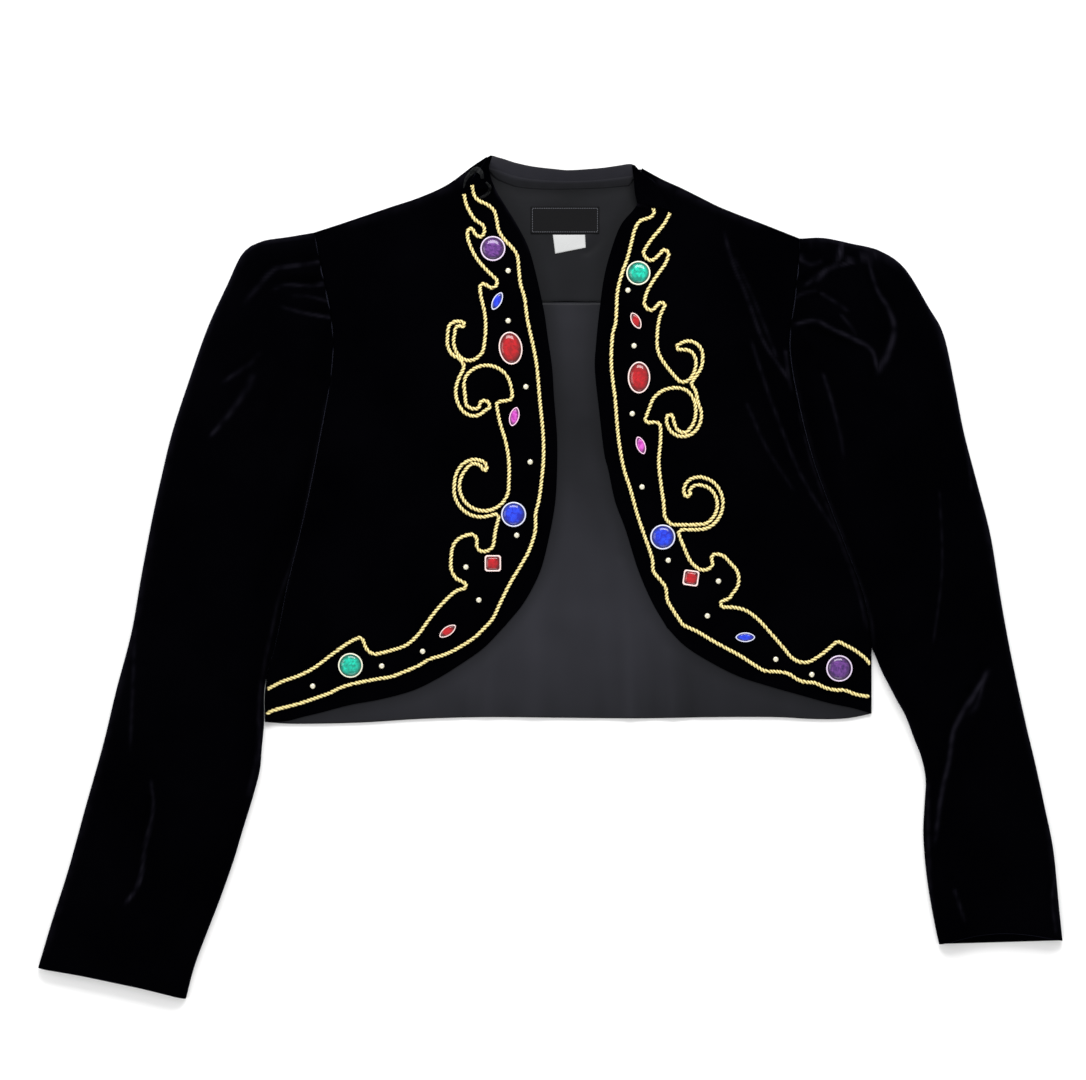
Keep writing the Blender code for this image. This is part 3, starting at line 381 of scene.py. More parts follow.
# Cream acrylic rim: milky and glossy, the pale ring round each stone, tinged by its colour.
rimTints = {"purple": "#D9C8E2", "blue": "#D3D6EC", "red": "#ECD3CF", "pink": "#EBC3DE", "green": "#E6E6D0"}
rimStuff = {colour: newMaterial("milky acrylic rim, glossy, by " + colour, {
    "Base Color": toLinear(tint), "Roughness": 0.25, "IOR": 1.49, "Coat Weight": 0.3})[0]
    for colour, tint in rimTints.items()}
# Pale gold stud: metallised bead, lighter than the cord.
studStuff = newMaterial("pale gold metallised stud", {
    "Base Color": toLinear("#E4DFC8"), "Metallic": 0.5, "Roughness": 0.22})[0]
# Woven label: matt dark damask, ribbed about 0.45 mm apart.
labelStuff, tree, shader = newMaterial("woven damask label, matt", {
    "Base Color": toLinear("#070709"), "Roughness": 0.75, "Specular IOR Level": 0.12})
place = addNode(tree, "ShaderNodeTexCoord")
threads = addNode(tree, "ShaderNodeTexWave", {"Scale": 700.0, "bands_direction": "Y"},
                  {"Vector": place.outputs["Object"]})
bump = addNode(tree, "ShaderNodeBump", {"Strength": 0.15, "Distance": 0.0002},
               {"Height": threads.outputs["Fac"]})
tree.links.new(bump.outputs["Normal"], shader.inputs["Normal"])
# Border of the label: grey thread, matt.
borderStuff = newMaterial("label border thread, grey", {
    "Base Color": toLinear("#45464C"), "Roughness": 0.6})[0]
# Care tape: white polyester satin tape.
tapeStuff = newMaterial("white polyester tape, soft gloss", {
    "Base Color": toLinear("#AEAFAF"), "Roughness": 0.5})[0]

print("back and lining")
body = {
    "facingSeam": 225.5,     # y of the seam between the neck facing and the lining
    "shoulderEnd": 282.0,    # above this y the shoulders and the neck bound the body
    "sideEnd": -111.0,       # below this y the hem bounds it
    "neck": [(-52, 344.5), (-41, 334), (-28, 330), (-14, 327.5), (15.5, 326), (41, 326.5), (61.5, 330),
        (75, 335)],
    "hem": [(-233.5, -118.5), (-209.5, -120), (-156, -119), (-107, -116), (-53.5, -114.5), (8, -115),
        (73.5, -115.5), (135, -114.5), (185, -114.5), (213, -116), (237.5, -116), (252.5, -114),
        (263, -111.5)],
}
# Painted light and shade of the satin by piece: rows of y and painted brightness from the neck down (the
# steep band painted paler as if lit, the crumples painted dark as in shade), and how far the soft patches
# of painted sheen change it.
satinPaintedLight = {
    "facing": ([(345, 0.12), (225, 0.13)], 0.035),
    "lining": ([(225, 0.27), (211, 0.28), (186, 0.26), (145, 0.18), (104, 0.21), (63, 0.31), (22, 0.41),
                (-30, 0.5), (-68, 0.45), (-92, 0.39), (-105, 0.34), (-120, 0.28)], 0.06),
    "band": ([(345, 0.92), (300, 0.92)], 0.06),
    "crumple": ([(345, 0.0), (300, 0.0)], 0.04),
}
# Ripples of the satin between the fronts, by piece. As in every table of folds, a row is the points
# along the fold, width and height at its start, width and height at its end, a trough below 0.
ripples = {
    "lining": [
        ([(37, 226), (38, 196), (36, 150)], 7, 1, 14, 0),
        ([(12, 224), (10, 120), (14, 0)], 26, 0.7, 30, 0.2),
        ([(28, 120), (34, 20), (30, -60)], 22, -0.6, 24, -0.4),
        ([(-4, 60), (-10, -30), (-14, -110)], 20, 0.6, 18, 0.8),
        ([(58, 10), (64, -50), (66, -118)], 12, 0.5, 9, 1.4),
        ([(78, -30), (84, -80), (86, -118)], 10, -0.4, 8, -1),
        ([(96, -62), (100, -92), (101, -118)], 9, 0.4, 7, 1.3),
        ([(112, -72), (116, -96), (117, -118)], 8, -0.4, 6, -0.8),
        ([(36, -40), (40, -80), (42, -118)], 14, -0.4, 10, -0.9),
        ([(-46, -60), (-50, -90), (-52, -118)], 12, 0.4, 8, 0.9),
        ([(-66, -80), (-70, -100), (-72, -118)], 8, -0.3, 7, -0.7),
    ],
    "facing": [
        ([(24, 272), (34, 284), (40, 296)], 5, 0.8, 8, 0),
        ([(30, 266), (40, 276), (46, 290)], 5, -0.5, 8, 0),
        ([(-20, 262), (-12, 250), (0, 240)], 8, 0.4, 14, 0),
    ],
}


def openEdge(side):
    # free edge and lower curve of a front in one line
    s = seams[side]
    return spline(np.vstack([spline(s["edge"], 200), spline(s["sweep"], 100)[1:]]), 200)


shoulderCount = 30
sewn = {}
for side in ("left", "right"):
    sewn[side] = np.vstack([spline(seams[side]["shoulder"], shoulderCount),
                            spline(seams[side]["armhole"], 60)[1:], spline(seams[side]["side"], 10)[1:]])


def bodyGrid(yTop, yBottom, rows, cols, inset):
    # rows from the neck and shoulders (or a seam) down to the hem (or a seam), each from the left sewn
    # edge to the right; inset draws the outline in
    upper = np.vstack([sewn["left"][:shoulderCount][::-1], spline(body["neck"], 80)[1:],
                       sewn["right"][1:shoulderCount]])
    hem = spline(body["hem"], 120)
    leftSide, rightSide = sewn["left"][shoulderCount - 1:], sewn["right"][shoulderCount - 1:]
    top, bottom = min(yTop, body["shoulderEnd"]), max(yBottom, body["sideEnd"])
    down = np.linspace(0, 1, rows)
    grid = np.zeros((rows, cols, 2))
    for r in range(rows):
        y = top + (bottom - top) * down[r]
        fromX = np.interp(-y, -leftSide[:, 1], leftSide[:, 0]) + inset
        toX = np.interp(-y, -rightSide[:, 1], rightSide[:, 0]) - inset
        grid[r, :, 0], grid[r, :, 1] = fromX + (toX - fromX) * np.linspace(0, 1, cols), y
    if yTop > body["shoulderEnd"]:
        rise = np.interp(grid[0, :, 0], upper[:, 0], upper[:, 1]) - inset - grid[0, :, 1]
        grid[:, :, 1] += rise[None] * (1 - down)[:, None]
    if yBottom < body["sideEnd"]:
        drop = np.interp(grid[-1, :, 0], hem[:, 0], hem[:, 1]) + inset * 0.6 - grid[-1, :, 1]
        grid[:, :, 1] += drop[None] * down[:, None]
    return grid


openings = {side: openEdge(side) for side in ("left", "right")}


def betweenFronts(points):
    # 0 under a front, rising to 1 in the open middle
    inside = np.ones(len(points), bool)
    for side, sign in (("left", 1), ("right", -1)):
        line = openings[side]
        x = np.interp(-points[:, 1], -line[:, 1], line[:, 0])
        inside &= (points[:, 0] - x) * sign > 0
    return np.where(inside, ease(fromFronts(points) / 12), 0.0)


def fromFronts(points):
    # distance from the nearer front's free edge
    return np.minimum(distanceTo(openings["left"], points), distanceTo(openings["right"], points))


def paintedLightAt(piece, points):
    # the satin's painted light and shade by height on the body
    rows = np.array(satinPaintedLight[piece][0], float)[::-1]
    return np.interp(points[:, 1], rows[:, 0], rows[:, 1])


def satinPanel(name, grid, piece, seed):
    # a satin piece flat on the back, rippled and shaded where it lies open between the fronts
    points = grid.reshape(-1, 2)
    z = np.full(len(points), cloth["liningTop"])
    neckAway = distanceTo(spline(body["neck"], 60), points)
    seen = betweenFronts(points) * ease((neckAway - 10) / 10)
    creases = foldHeight(points, ripples[piece])
    z += (creases + 0.25 * ripple(points, 40, seed) + 0.25) * seen
    seamAway = np.abs(points[:, 1] - body["facingSeam"])
    z -= 0.3 * np.exp(-(seamAway / 1.3) ** 2) * seen
    z = np.maximum(z, cloth["liningTop"] - 0.2)
    panel = shell(name, np.dstack([grid, z.reshape(grid.shape[:2])]), cloth["satinThick"], satin, hold=1.7)
    # soft streaks of painted sheen
    patches = ripple(points * (1.0, 0.45), 42, seed + 7) + 0.5 * ripple(points * (1.0, 0.3), 19, seed + 9)
    # the ripples' ridges painted paler and their troughs darker, as light and shade
    shade = paintedLightAt(piece, points) + satinPaintedLight[piece][1] * patches + 0.06 * creases
    # painted shadow beside the fronts, and painted shade along the seam
    shade *= 0.62 + 0.38 * ease(fromFronts(points) / 13)      # darker beside the fronts
    shade -= 0.07 * np.exp(-(seamAway / 1.6) ** 2)      # and along the seam
    shade *= ease(neckAway / 5)      # behind the band the edge is dark
    # and toward the hem's right end
    shade *= 1 - 0.3 * ease((points[:, 0] - 60) / 50) * ease((-30 - points[:, 1]) / 50)
    addTone(panel, "gloss", shade)
    return panel


backPlan = bodyGrid(345, -120, 90, 80, -cloth["seamAllowance"])
backPiece = shell("velvet_back", np.dstack([backPlan, np.full(backPlan.shape[:2], cloth["velvetThick"])]),
                  cloth["velvetThick"], velvet, hold=0.0)
halfGap = 0.15      # the facing and the lining lie 0.3 mm apart at their seam
facingPlan = bodyGrid(345, body["facingSeam"] + halfGap, 64, 150, 0.5)
liningPlan = bodyGrid(body["facingSeam"] - halfGap, -120, 150, 160, 0.5)
facingPiece = satinPanel("satin_neck_facing", facingPlan, "facing", 21)
liningPiece = satinPanel("satin_lining", liningPlan, "lining", 22)

print("fronts")
# Soft folds of the fronts, and lines of painted sheen where the light catches their creases, seams and
# edges: a line's row is its points, width and strength at its start, width and strength at its end.
frontFolds = {
    "left": [
        ([(-150, 150), (-168, 70), (-185, 0)], 22, 2, 22, 0.6),
        ([(-182, 190), (-150, 200), (-120, 196)], 12, -1.2, 20, 0),
        ([(-196, 90), (-170, 60), (-150, 10)], 14, -1.4, 24, 0),
        ([(-222, -40), (-198, -62), (-180, -90)], 12, -1.2, 18, 0),
    ],
    "right": [
        ([(145, 268), (159, 239), (169, 213), (180, 177), (197, 156)], 9, 2.8, 11, 1),
        ([(150, 274), (164, 246), (175, 218), (186, 184)], 8, -1.6, 10, 0),
        ([(193, 181), (202, 157), (210, 108), (224, 80)], 8, 2, 11, 0.4),
        ([(164, 194), (183, 138), (207, 80), (242, 26)], 10, 2.8, 12, 0.8),
        ([(156, 186), (176, 130), (200, 74)], 9, -1.4, 12, 0),
        ([(244, 18), (253, -10), (258, -40)], 9, 1.8, 10, 0),
        ([(214, 80), (240, 15), (250, -30)], 12, 1.6, 12, 0.6),
    ],
}
frontSheenLines = {
    "left": [
        ([(-66, 334), (-86, 319.5), (-132, 301), (-170, 288)], 9, 0.25, 7, 0.12),
        ([(-178.5, 196), (-181.5, 156), (-189, 120), (-197, 74), (-206, 34), (-216, -7),
          (-231, -76)], 2.2, 0.12, 2.2, 0.2),
        ([(-49, 329), (-43.6, 315.5), (-36.4, 304), (-25, 285), (-15.5, 264)], 1.6, 0.5, 1.6, 0.1),
    ],
    "right": [
        ([(87, 327.5), (108, 317.5), (142, 301), (176, 288)], 9, 0.28, 7, 0.2),
        ([(142.3, 282.4), (149.2, 257.2), (160.6, 229.8), (174.3, 193.3), (192.5, 166),
          (197, 157)], 2.2, 0.3, 2.4, 0.5),
        ([(150, 262), (162, 238), (176, 204), (186, 178)], 2.2, 0.15, 2.2, 0.3),
        ([(160.5, 143), (174.3, 111), (188, 88.2), (200, 70)], 2.4, 0.3, 2.6, 0.15),
        ([(192.5, 186), (194.8, 166), (198, 152.5)], 2.2, 0.45, 2.2, 0.3),
        ([(164, 194), (183, 138), (207, 80), (240, 28)], 2.4, 0.3, 2.2, 0.25),
        ([(203, 140), (213, 98), (226, 60), (239, 26), (250, -4), (260, -44)], 2.2, 0.22, 2.2, 0.3),
        ([(70.5, 306), (79, 303.4), (88, 302.6)], 1.6, 0.5, 1.6, 0.2),
    ],
}


def towardEdge(count, last):
    # shares from 0 to 1, crowding at the far end so that the edge can be rounded
    tail = 1 - np.array([0.0, 0.06, 0.22, 0.5, 1.0, 1.7]) * last
    return np.concatenate([np.linspace(0, tail[-1], count, endpoint=False), tail[::-1]])


def sewnEdge(side):
    # shoulder, armhole and side seam of a front in one line
    s = seams[side]
    return np.vstack([spline(s["shoulder"], 40), spline(s["armhole"], 90)[1:], spline(s["side"], 12)[1:]])


def frontGrid(side):
    # upper face of a front between its seam, shoulder, edge and lower curve
    s = seams[side]
    u, v = towardEdge(98, 0.012), towardEdge(196, 0.006)
    seam = lineAt(np.vstack([spline(s["armhole"], 60), spline(s["side"], 10)[1:]]), v)
    upper, lower = lineAt(s["shoulder"][::-1], u), lineAt(s["sweep"][::-1], u)
    flat = coons(upper, lower, seam, lineAt(s["edge"], v), u, v)
    points = flat.reshape(-1, 2)
    sewn, opened = distanceTo(sewnEdge(side), points), distanceTo(openEdge(side), points)
    z = cloth["frontEdge"] + cloth["frontCrown"] * ease(sewn / 70) * ease(opened / 70)
    inside = ease(sewn / 12) * ease(opened / 40)
    z += foldHeight(points, frontFolds[side]) * ease(sewn / 6) * ease(opened / 60)
    z += 0.5 * ripple(points, 60, 3 if side == "left" else 4) * inside
    z -= 0.28 * np.exp(-((opened - 5.5) / 1.1) ** 2)      # stitched line along the edge
    z -= cloth["edgeRound"] * (1 - rollUp(opened, 2.2)) * ease((sewn - 1) / 4)
    z -= 0.6 * (1 - rollUp(sewn, 2.0))      # the seam draws the cloth down
    return np.dstack([flat, z.reshape(flat.shape[:2])])


frontPieces, frontTrees = {}, {}
for side in ("left", "right"):
    grid = frontGrid(side)
    frontPieces[side] = shell(f"velvet_front_{side}", grid, cloth["frontThick"], velvet,
                              hold=cloth["liningTop"] + 0.05, straight=True)
    # pale painted sheen lines on the front, carried in the pile attribute
    addTone(frontPieces[side], "pile", paintedSheenLines(grid[:, :, :2].reshape(-1, 2), frontSheenLines[side]))
    frontTrees[side] = treeOf(frontPieces[side])

print("sleeves")
# Sleeves, a row per section: outer x, outer y, inner x, inner y, height of the crown.
sleeveSections = {
    "left": [
        (-193, 282.5, -231.5, -77.5, 0), (-213.5, 279, -232.7, -82, 15), (-236.5, 275, -233.6, -87, 20),
        (-252, 265, -234.2, -92.5, 23), (-264.5, 239.5, -234.5, -98, 25),
        (-280.5, 204.5, -234.6, -104.5, 25), (-295.5, 162, -234.5, -112, 23),
        (-309.5, 119, -234.6, -121, 20), (-319, 80, -235.4, -130, 17),
        (-326.5, 45.5, -236.5, -141.5, 15), (-335.5, -2, -238, -158, 13), (-343, -45, -244, -181, 11),
        (-355.5, -92.5, -252, -207, 10), (-366, -136, -260, -233.5, 9), (-380.5, -187.5, -271, -264.5, 8),
        (-394.5, -238.5, -281.5, -291.5, 7.5), (-408, -281, -291.5, -318.5, 7),
        (-419.5, -319.5, -298.5, -345, 6.5),
    ],
    "right": [
        (204, 277.5, 263, -56.5, 0), (223, 278, 264, -59.5, 15), (246, 273.5, 266, -63.5, 21),
        (269.5, 267.5, 268, -68.5, 25), (290, 253, 270.5, -74.5, 27), (309.5, 221.5, 273.5, -81, 28),
        (322, 198.5, 277.5, -88.5, 27), (331, 157.5, 283.5, -100, 24), (338.5, 119, 291, -113.5, 20),
        (350, 75, 298, -132, 17), (360.5, 34, 304, -147.5, 15), (369, -18.5, 307.5, -166, 13),
        (377, -62, 306.5, -186.5, 11), (388.5, -116, 305.5, -207, 10), (397.5, -154, 306.5, -227.5, 9),
        (405, -188.5, 309, -250, 8.5), (412, -223.5, 312, -268.5, 8), (416.5, -268.5, 315.5, -287, 7),
        (419.5, -297.5, 318.5, -300.5, 6.5),
    ],
}
cuffScoop = {"left": 2.0, "right": 8.0}      # how far the middle of a cuff's end lies back
# Folds, pleats and seams pressed into the sleeves, and painted sheen lines where these and the edges catch
# light.
sleeveFolds = {
    "left": [
        ([(-190, 259), (-209, 259), (-222, 254), (-235, 238), (-246, 224)], 8, -8, 14, -1),
        ([(-187, 249), (-206, 249), (-220, 245), (-229, 236)], 8, 4, 12, 0),
        ([(-184, 240), (-211, 240), (-228, 238), (-237, 230)], 8, -8, 10, -1),
        ([(-182, 227), (-200, 228), (-219, 228)], 8, 3.5, 12, 0),
        ([(-179, 214), (-199, 215), (-214, 219)], 8, -7, 10, 0),
        ([(-178, 192), (-196, 196), (-216, 200)], 9, -4, 14, 0),
        ([(-181, 160), (-198, 162), (-216, 172)], 10, -4, 16, 0),
        ([(-262, 163), (-243, 176), (-224, 182)], 10, -3, 14, 0),
        ([(-240, 174), (-258, 137), (-281, 113), (-300, 84)], 12, -5, 24, 0),
        ([(-228, 150), (-247, 112), (-268, 84)], 14, 4, 26, 0),
        ([(-210, 110), (-235, 60), (-252, 10)], 18, -4, 30, 0),
        ([(-226, 40), (-246, -10), (-262, -58)], 18, 3.5, 26, 0),
        ([(-234, -70), (-262, -58), (-292, -40)], 10, -3.5, 22, 0),
        ([(-240, -106), (-268, -92), (-300, -72)], 14, -3, 24, 0),
        ([(-326, -181), (-330, -204), (-332, -228), (-337, -250), (-348, -272)], 7, -3.4, 9, -1),
        ([(-318, -178), (-322, -206), (-324, -232), (-330, -258)], 10, 2.2, 12, 0.4),
        ([(-352, -130), (-346, -168), (-350, -210)], 16, 2, 20, 0),
        ([(-304, 60), (-316, 0), (-326, -60), (-341, -170), (-352, -240),
          (-362, -336)], 2.2, -0.7, 2.2, -0.7),
    ],
    "right": [
        ([(194, 258), (203, 261), (212, 268), (222, 280)], 7, -8, 8, -5),
        ([(206, 240), (216, 258), (226, 266), (237, 270), (263, 267)], 7, -7, 8, -2),
        ([(210, 239), (228, 252), (245, 255), (258, 259)], 7, -6, 9, -1),
        ([(206, 248), (222, 258), (240, 262)], 6, 3.5, 8, 1),
        ([(261, 272), (261, 251), (265, 236), (272, 221), (277, 200), (270, 181),
          (264, 162)], 8, -6, 14, -3),
        ([(254, 262), (254, 240), (260, 218), (262, 200), (256, 180)], 10, 4, 14, 1),
        ([(263, 270), (272, 254), (284, 238)], 7, -4, 12, 0),
        ([(212, 230), (234, 222), (247, 208)], 8, -5, 12, 0),
        ([(195, 207), (210, 209), (220, 211)], 7, -5, 9, 0),
        ([(212, 202), (234, 191), (258, 182), (263, 174), (264, 163)], 8, -6, 12, -2),
        ([(208, 192), (230, 180), (250, 168)], 10, 3, 14, 0),
        ([(221, 168), (231, 130), (238, 92)], 10, -5, 18, 0),
        ([(210, 150), (222, 112), (236, 74), (250, 40)], 12, 3.5, 18, 0),
        ([(262, 150), (286, 120), (296, 86)], 16, -4, 26, 0),
        ([(262, -40), (286, -26), (312, 2)], 9, -4, 24, 0),
        ([(268, -70), (298, -58), (326, -34)], 12, -3.5, 22, 0),
        ([(354, -74), (347, -94), (338, -110)], 9, -3, 12, -0.5),
        ([(342, -93), (328, -124), (323, -154), (319, -184), (315, -224)], 8, -4, 11, -1),
        ([(352, -100), (338, -130), (333, -160), (328, -196)], 10, 2.6, 14, 0.4),
        ([(328, -247), (339, -267), (347, -290)], 8, -2.6, 12, -1),
        ([(414, -240), (409, -266), (416, -298)], 7, -2.2, 8, -1),
        ([(318, 190), (318, 135), (318, 47), (318, -40), (310, -56), (308, -101),
          (308, -151)], 2.4, -0.9, 2.4, -0.9),
    ],
}
sleeveSheenLines = {
    "left": [
        ([(-191, 276), (-187, 262), (-183, 250)], 2.4, 0.35, 2.4, 0.3),
        ([(-188, 258.8), (-201.5, 255.4), (-216, 252.9), (-225.8, 250.5), (-240.4, 233.5),
          (-250, 221)], 2.4, 0.75, 4, 0.1),
        ([(-184.5, 240.8), (-196.6, 238.3), (-216, 238.3), (-226, 233.5)], 2, 0.7, 3, 0.15),
        ([(-182, 226), (-198, 229), (-212, 229)], 2, 0.35, 3, 0.05),
        ([(-180, 213), (-196.6, 215), (-211.3, 218), (-221, 221.3)], 2.2, 0.75, 3, 0.15),
        ([(-235.6, 182.4), (-247.7, 171.2), (-260, 163), (-267.2, 158)], 4, 0.12, 3, 0.5),
        ([(-240.5, 165.4), (-248, 151), (-260, 134), (-277, 114.3)], 6, 0.15, 3, 0.5),
        ([(-325.5, -165), (-324, -189), (-330.4, -218.6), (-335.2, -247.8),
          (-347.4, -267.2)], 3, 0.25, 2.6, 0.8),
        ([(-320.6, 117), (-325.5, 34), (-337.6, -14.5), (-340, -78), (-342.5, -141)], 4, 0.12, 3, 0.28),
        ([(-184, 145), (-188.4, 114.6), (-192, 101), (-199.5, 60), (-209, 20), (-221, -14.5), (-228, -45),
          (-233.5, -70), (-236.5, -88)], 2.4, 0.16, 2.4, 0.3),
        ([(-236, -84), (-238, -110), (-238, -140), (-247, -182)], 2.4, 0.35, 3.4, 0.3),
        ([(-193, 282), (-236, 274), (-252, 264), (-281, 203), (-309, 118), (-326, 45)], 6, 0.3, 9, 0.25),
        ([(-326, 45), (-343, -45), (-366, -136), (-394, -238), (-419, -319)], 9, 0.25, 8, 0.2),
    ],
    "right": [
        ([(190, 268.7), (199.4, 271), (206, 269.7), (215.4, 272)], 3, 0.8, 2.4, 0.5),
        ([(203, 262), (212, 256), (222, 258)], 3.4, 0.5, 3, 0.2),
        ([(238.2, 275.5), (233.7, 257.2), (224.5, 250.4), (215.4, 241.3)], 3, 0.9, 4, 0.8),
        ([(208.5, 239), (224.5, 250.4), (247.4, 257.2), (261, 258), (265.7, 268.7)], 3, 0.75, 2.4, 0.45),
        ([(258.8, 257), (265.7, 234.4), (274.8, 218.4), (279.4, 202.4), (274.8, 184.2),
          (265.7, 166)], 2.6, 0.4, 4.5, 0.75),
        ([(199.4, 207), (215.4, 209.3), (229.1, 202.4), (247.4, 193.3), (261.1, 184.2),
          (265.7, 168)], 2.6, 0.6, 3, 0.6),
        ([(252, 262), (262, 258), (272, 250)], 3, 0.4, 3, 0.1),
        ([(220, 232), (233.7, 223), (242.8, 216.2)], 2.4, 0.4, 3, 0.2),
        ([(196, 226), (206, 232), (218, 234)], 2.4, 0.3, 3, 0.15),
        ([(236, 214), (244, 204), (249, 196)], 2.4, 0.3, 3, 0.1),
        ([(222.2, 166), (229.1, 143), (235.9, 115.6), (238.2, 97.3)], 2.2, 0.45, 3, 0.2),
        ([(357, -76.3), (343.3, -99), (329.6, -122), (325, -149.3), (318.2, -181.3),
          (313.6, -218)], 4, 0.85, 3.4, 0.4),
        ([(353, -84), (347, -104), (338, -112)], 3, 0.5, 4, 0.15),
        ([(336.4, 134), (341, 97.3), (343.3, 70)], 3, 0.35, 3, 0.2),
        ([(316, 70), (318.2, 6), (311.4, -53.4)], 2.6, 0.25, 2.6, 0.22),
        ([(329.6, -254.3), (338.7, -281.8)], 2.4, 0.4, 2.4, 0.3),
        ([(414, -240), (410, -262), (413, -292)], 3, 0.45, 2.4, 0.3),
        ([(308.5, -168), (308.5, -207), (310, -250), (314, -284)], 3, 0.3, 3, 0.25),
        ([(204, 278), (246, 273.5), (290, 253), (310, 222), (331, 158), (350, 75)], 6, 0.35, 7, 0.22),
        ([(350, 75), (369, -18), (388, -116), (405, -188), (419, -297)], 7, 0.3, 5, 0.25),
        ([(198.5, 178), (205, 142), (216, 99), (229, 61), (243, 25), (261, -28),
          (265, -58)], 2.2, 0.1, 2.2, 0.25),
    ],
}


def sleevePlan(side, rows, across):
    # plan of a sleeve and its crown by row; the armhole's curve fades out down the sleeve
    table = np.array(sleeveSections[side], float)
    fine = spline(table, rows)
    outer, inner, crown = fine[:, :2], fine[:, 2:4], fine[:, 4]
    seam = lineAt(seams[side]["armhole"], across)
    chord = seam[0] + across[:, None] * (seam[-1] - seam[0])
    bulge = seam - chord
    grid = np.zeros((rows, len(across), 2))
    for r in range(rows):
        fade = max(0.0, 1 - r / (0.42 * rows)) ** 1.6
        grid[r] = outer[r] + across[:, None] * (inner[r] - outer[r]) + bulge * fade
    return grid, crown


def freeEdges(side):
    # outer and inner folded edge of a sleeve
    table = np.array(sleeveSections[side], float)
    return spline(table[:, :2], 120), spline(table[:, 2:4], 120)


def moveOffSeam(grid, side, gap):
    # the first rows step back from the armhole seam, less and less
    sign = -1.0 if side == "left" else 1.0
    tangent = np.gradient(grid[0], axis=0)
    tangent /= np.maximum(np.linalg.norm(tangent, axis=1), 1e-6)[:, None]
    normal = np.column_stack([-tangent[:, 1], tangent[:, 0]])
    normal *= np.where((normal[:, 0] * sign) < 0, -1.0, 1.0)[:, None]
    fadeRows = len(grid) // 12
    for r in range(fadeRows):
        grid[r] += normal * gap * (1 - r / fadeRows)
    return grid


def sleeveTop(side, flat, crown, across):
    # height of a sleeve's upper face: crown, folds, rounded edges, cuff and its stitched line
    outerEdge, innerEdge = freeEdges(side)
    rows, cols = flat.shape[:2]
    points = flat.reshape(-1, 2)
    a = np.minimum(distanceTo(outerEdge, points), distanceTo(innerEdge, points)).reshape(rows, cols)
    b = distanceTo(spline(seams[side]["armhole"], 100), points).reshape(rows, cols)
    down = np.linspace(0, 1, rows)[:, None]
    head = 1 - 0.62 * ease((across[None, :] - 0.30) / 0.6) * (1 - ease(down / 0.42))
    height = cloth["sleeveBase"] + crown[:, None] * head * (0.78 + 0.22 * np.sin(np.pi * across)[None, :])
    edge = rollUp(a, cloth["sleeveEdge"] + 0.55 * height)
    puff = rollUp(b, 6 + 0.9 * height)
    crease = foldHeight(points, sleeveFolds[side]).reshape(rows, cols)
    soft = 0.9 * ripple(points, 70, 11 if side == "left" else 12).reshape(rows, cols)
    soft += 0.35 * ripple(points, 26, 13 if side == "left" else 14).reshape(rows, cols)
    base = cloth["sleeveSeam"] + 0.2
    z = base + np.maximum(height + crease + soft, 2.5) * edge * puff
    z = np.maximum(z, np.where(b < 1.5, cloth["frontEdge"] - 0.9, base))
    cuff = distanceTo(flat[-1], points).reshape(rows, cols)
    z -= 1.6 * (1 - rollUp(cuff, 2.0)) * edge      # rounded end of the cuff
    z -= 0.5 * np.exp(-((cuff - 22) / 1.4) ** 2) * edge      # its hem, stitched 22 mm in
    return np.maximum(z, base)


def sleeveBottom(side, flat):
    # height of a sleeve's lower face, lifted toward its folded edges
    outerEdge, innerEdge = freeEdges(side)
    points = flat.reshape(-1, 2)
    a = np.minimum(distanceTo(outerEdge, points), distanceTo(innerEdge, points))
    z = (cloth["sleeveSeam"] - 0.4) * (1 - rollUp(a, cloth["sleeveEdge"]))
    z[z < 0.02] = 0.0
    return z.reshape(flat.shape[:2])


def bothEnds(count, near, dense=0.5):
    # stations across a sleeve, crowding at its folded edges; dense is the share of them in the upper 42 %
    edge = np.array([0, near * 0.02, near * 0.1, near * 0.3, near * 0.65])
    first = int(count * dense)
    middle = np.concatenate([np.linspace(near, 0.42, first, endpoint=False),
                             np.linspace(0.42, 1 - near, count - first)])
    return np.concatenate([edge, middle, 1 - edge[::-1]])


sleevePieces = {}
scoopRows = 14      # rows at the cuff that its hollow end draws back
for side in ("left", "right"):
    across = bothEnds(104, 0.05, 0.68)
    flat, crown = sleevePlan(side, 350, across)
    flat = moveOffSeam(flat, side, cloth["armholeGap"])
    scoop = cuffScoop[side] * np.sin(np.pi * across)
    along = flat[-1] - flat[-scoopRows]
    along /= np.linalg.norm(along, axis=1)[:, None]
    for back in range(scoopRows):
        flat[-1 - back] -= along * (scoop * (1 - back / scoopRows))[:, None]
    z = sleeveTop(side, flat, crown, across)
    sleevePieces[side, "upper"] = shell(f"velvet_sleeve_{side}_upper", np.dstack([flat, z]),
                                        cloth["velvetThick"], velvet, hold=1.5)
    # pale painted sheen lines on the upper sleeve, carried in the pile attribute
    addTone(sleevePieces[side, "upper"], "pile", paintedSheenLines(flat.reshape(-1, 2), sleeveSheenLines[side]))
    across = bothEnds(26, 0.05)
    flat, crown = sleevePlan(side, 80, across)
    flat = moveOffSeam(flat, side, cloth["armholeGap"])
    grid = np.dstack([flat, sleeveBottom(side, flat)])
    sleevePieces[side, "under"] = shell(f"velvet_sleeve_{side}_under", grid, cloth["velvetThick"], velvet,
                                        up=False)

print("neck band")
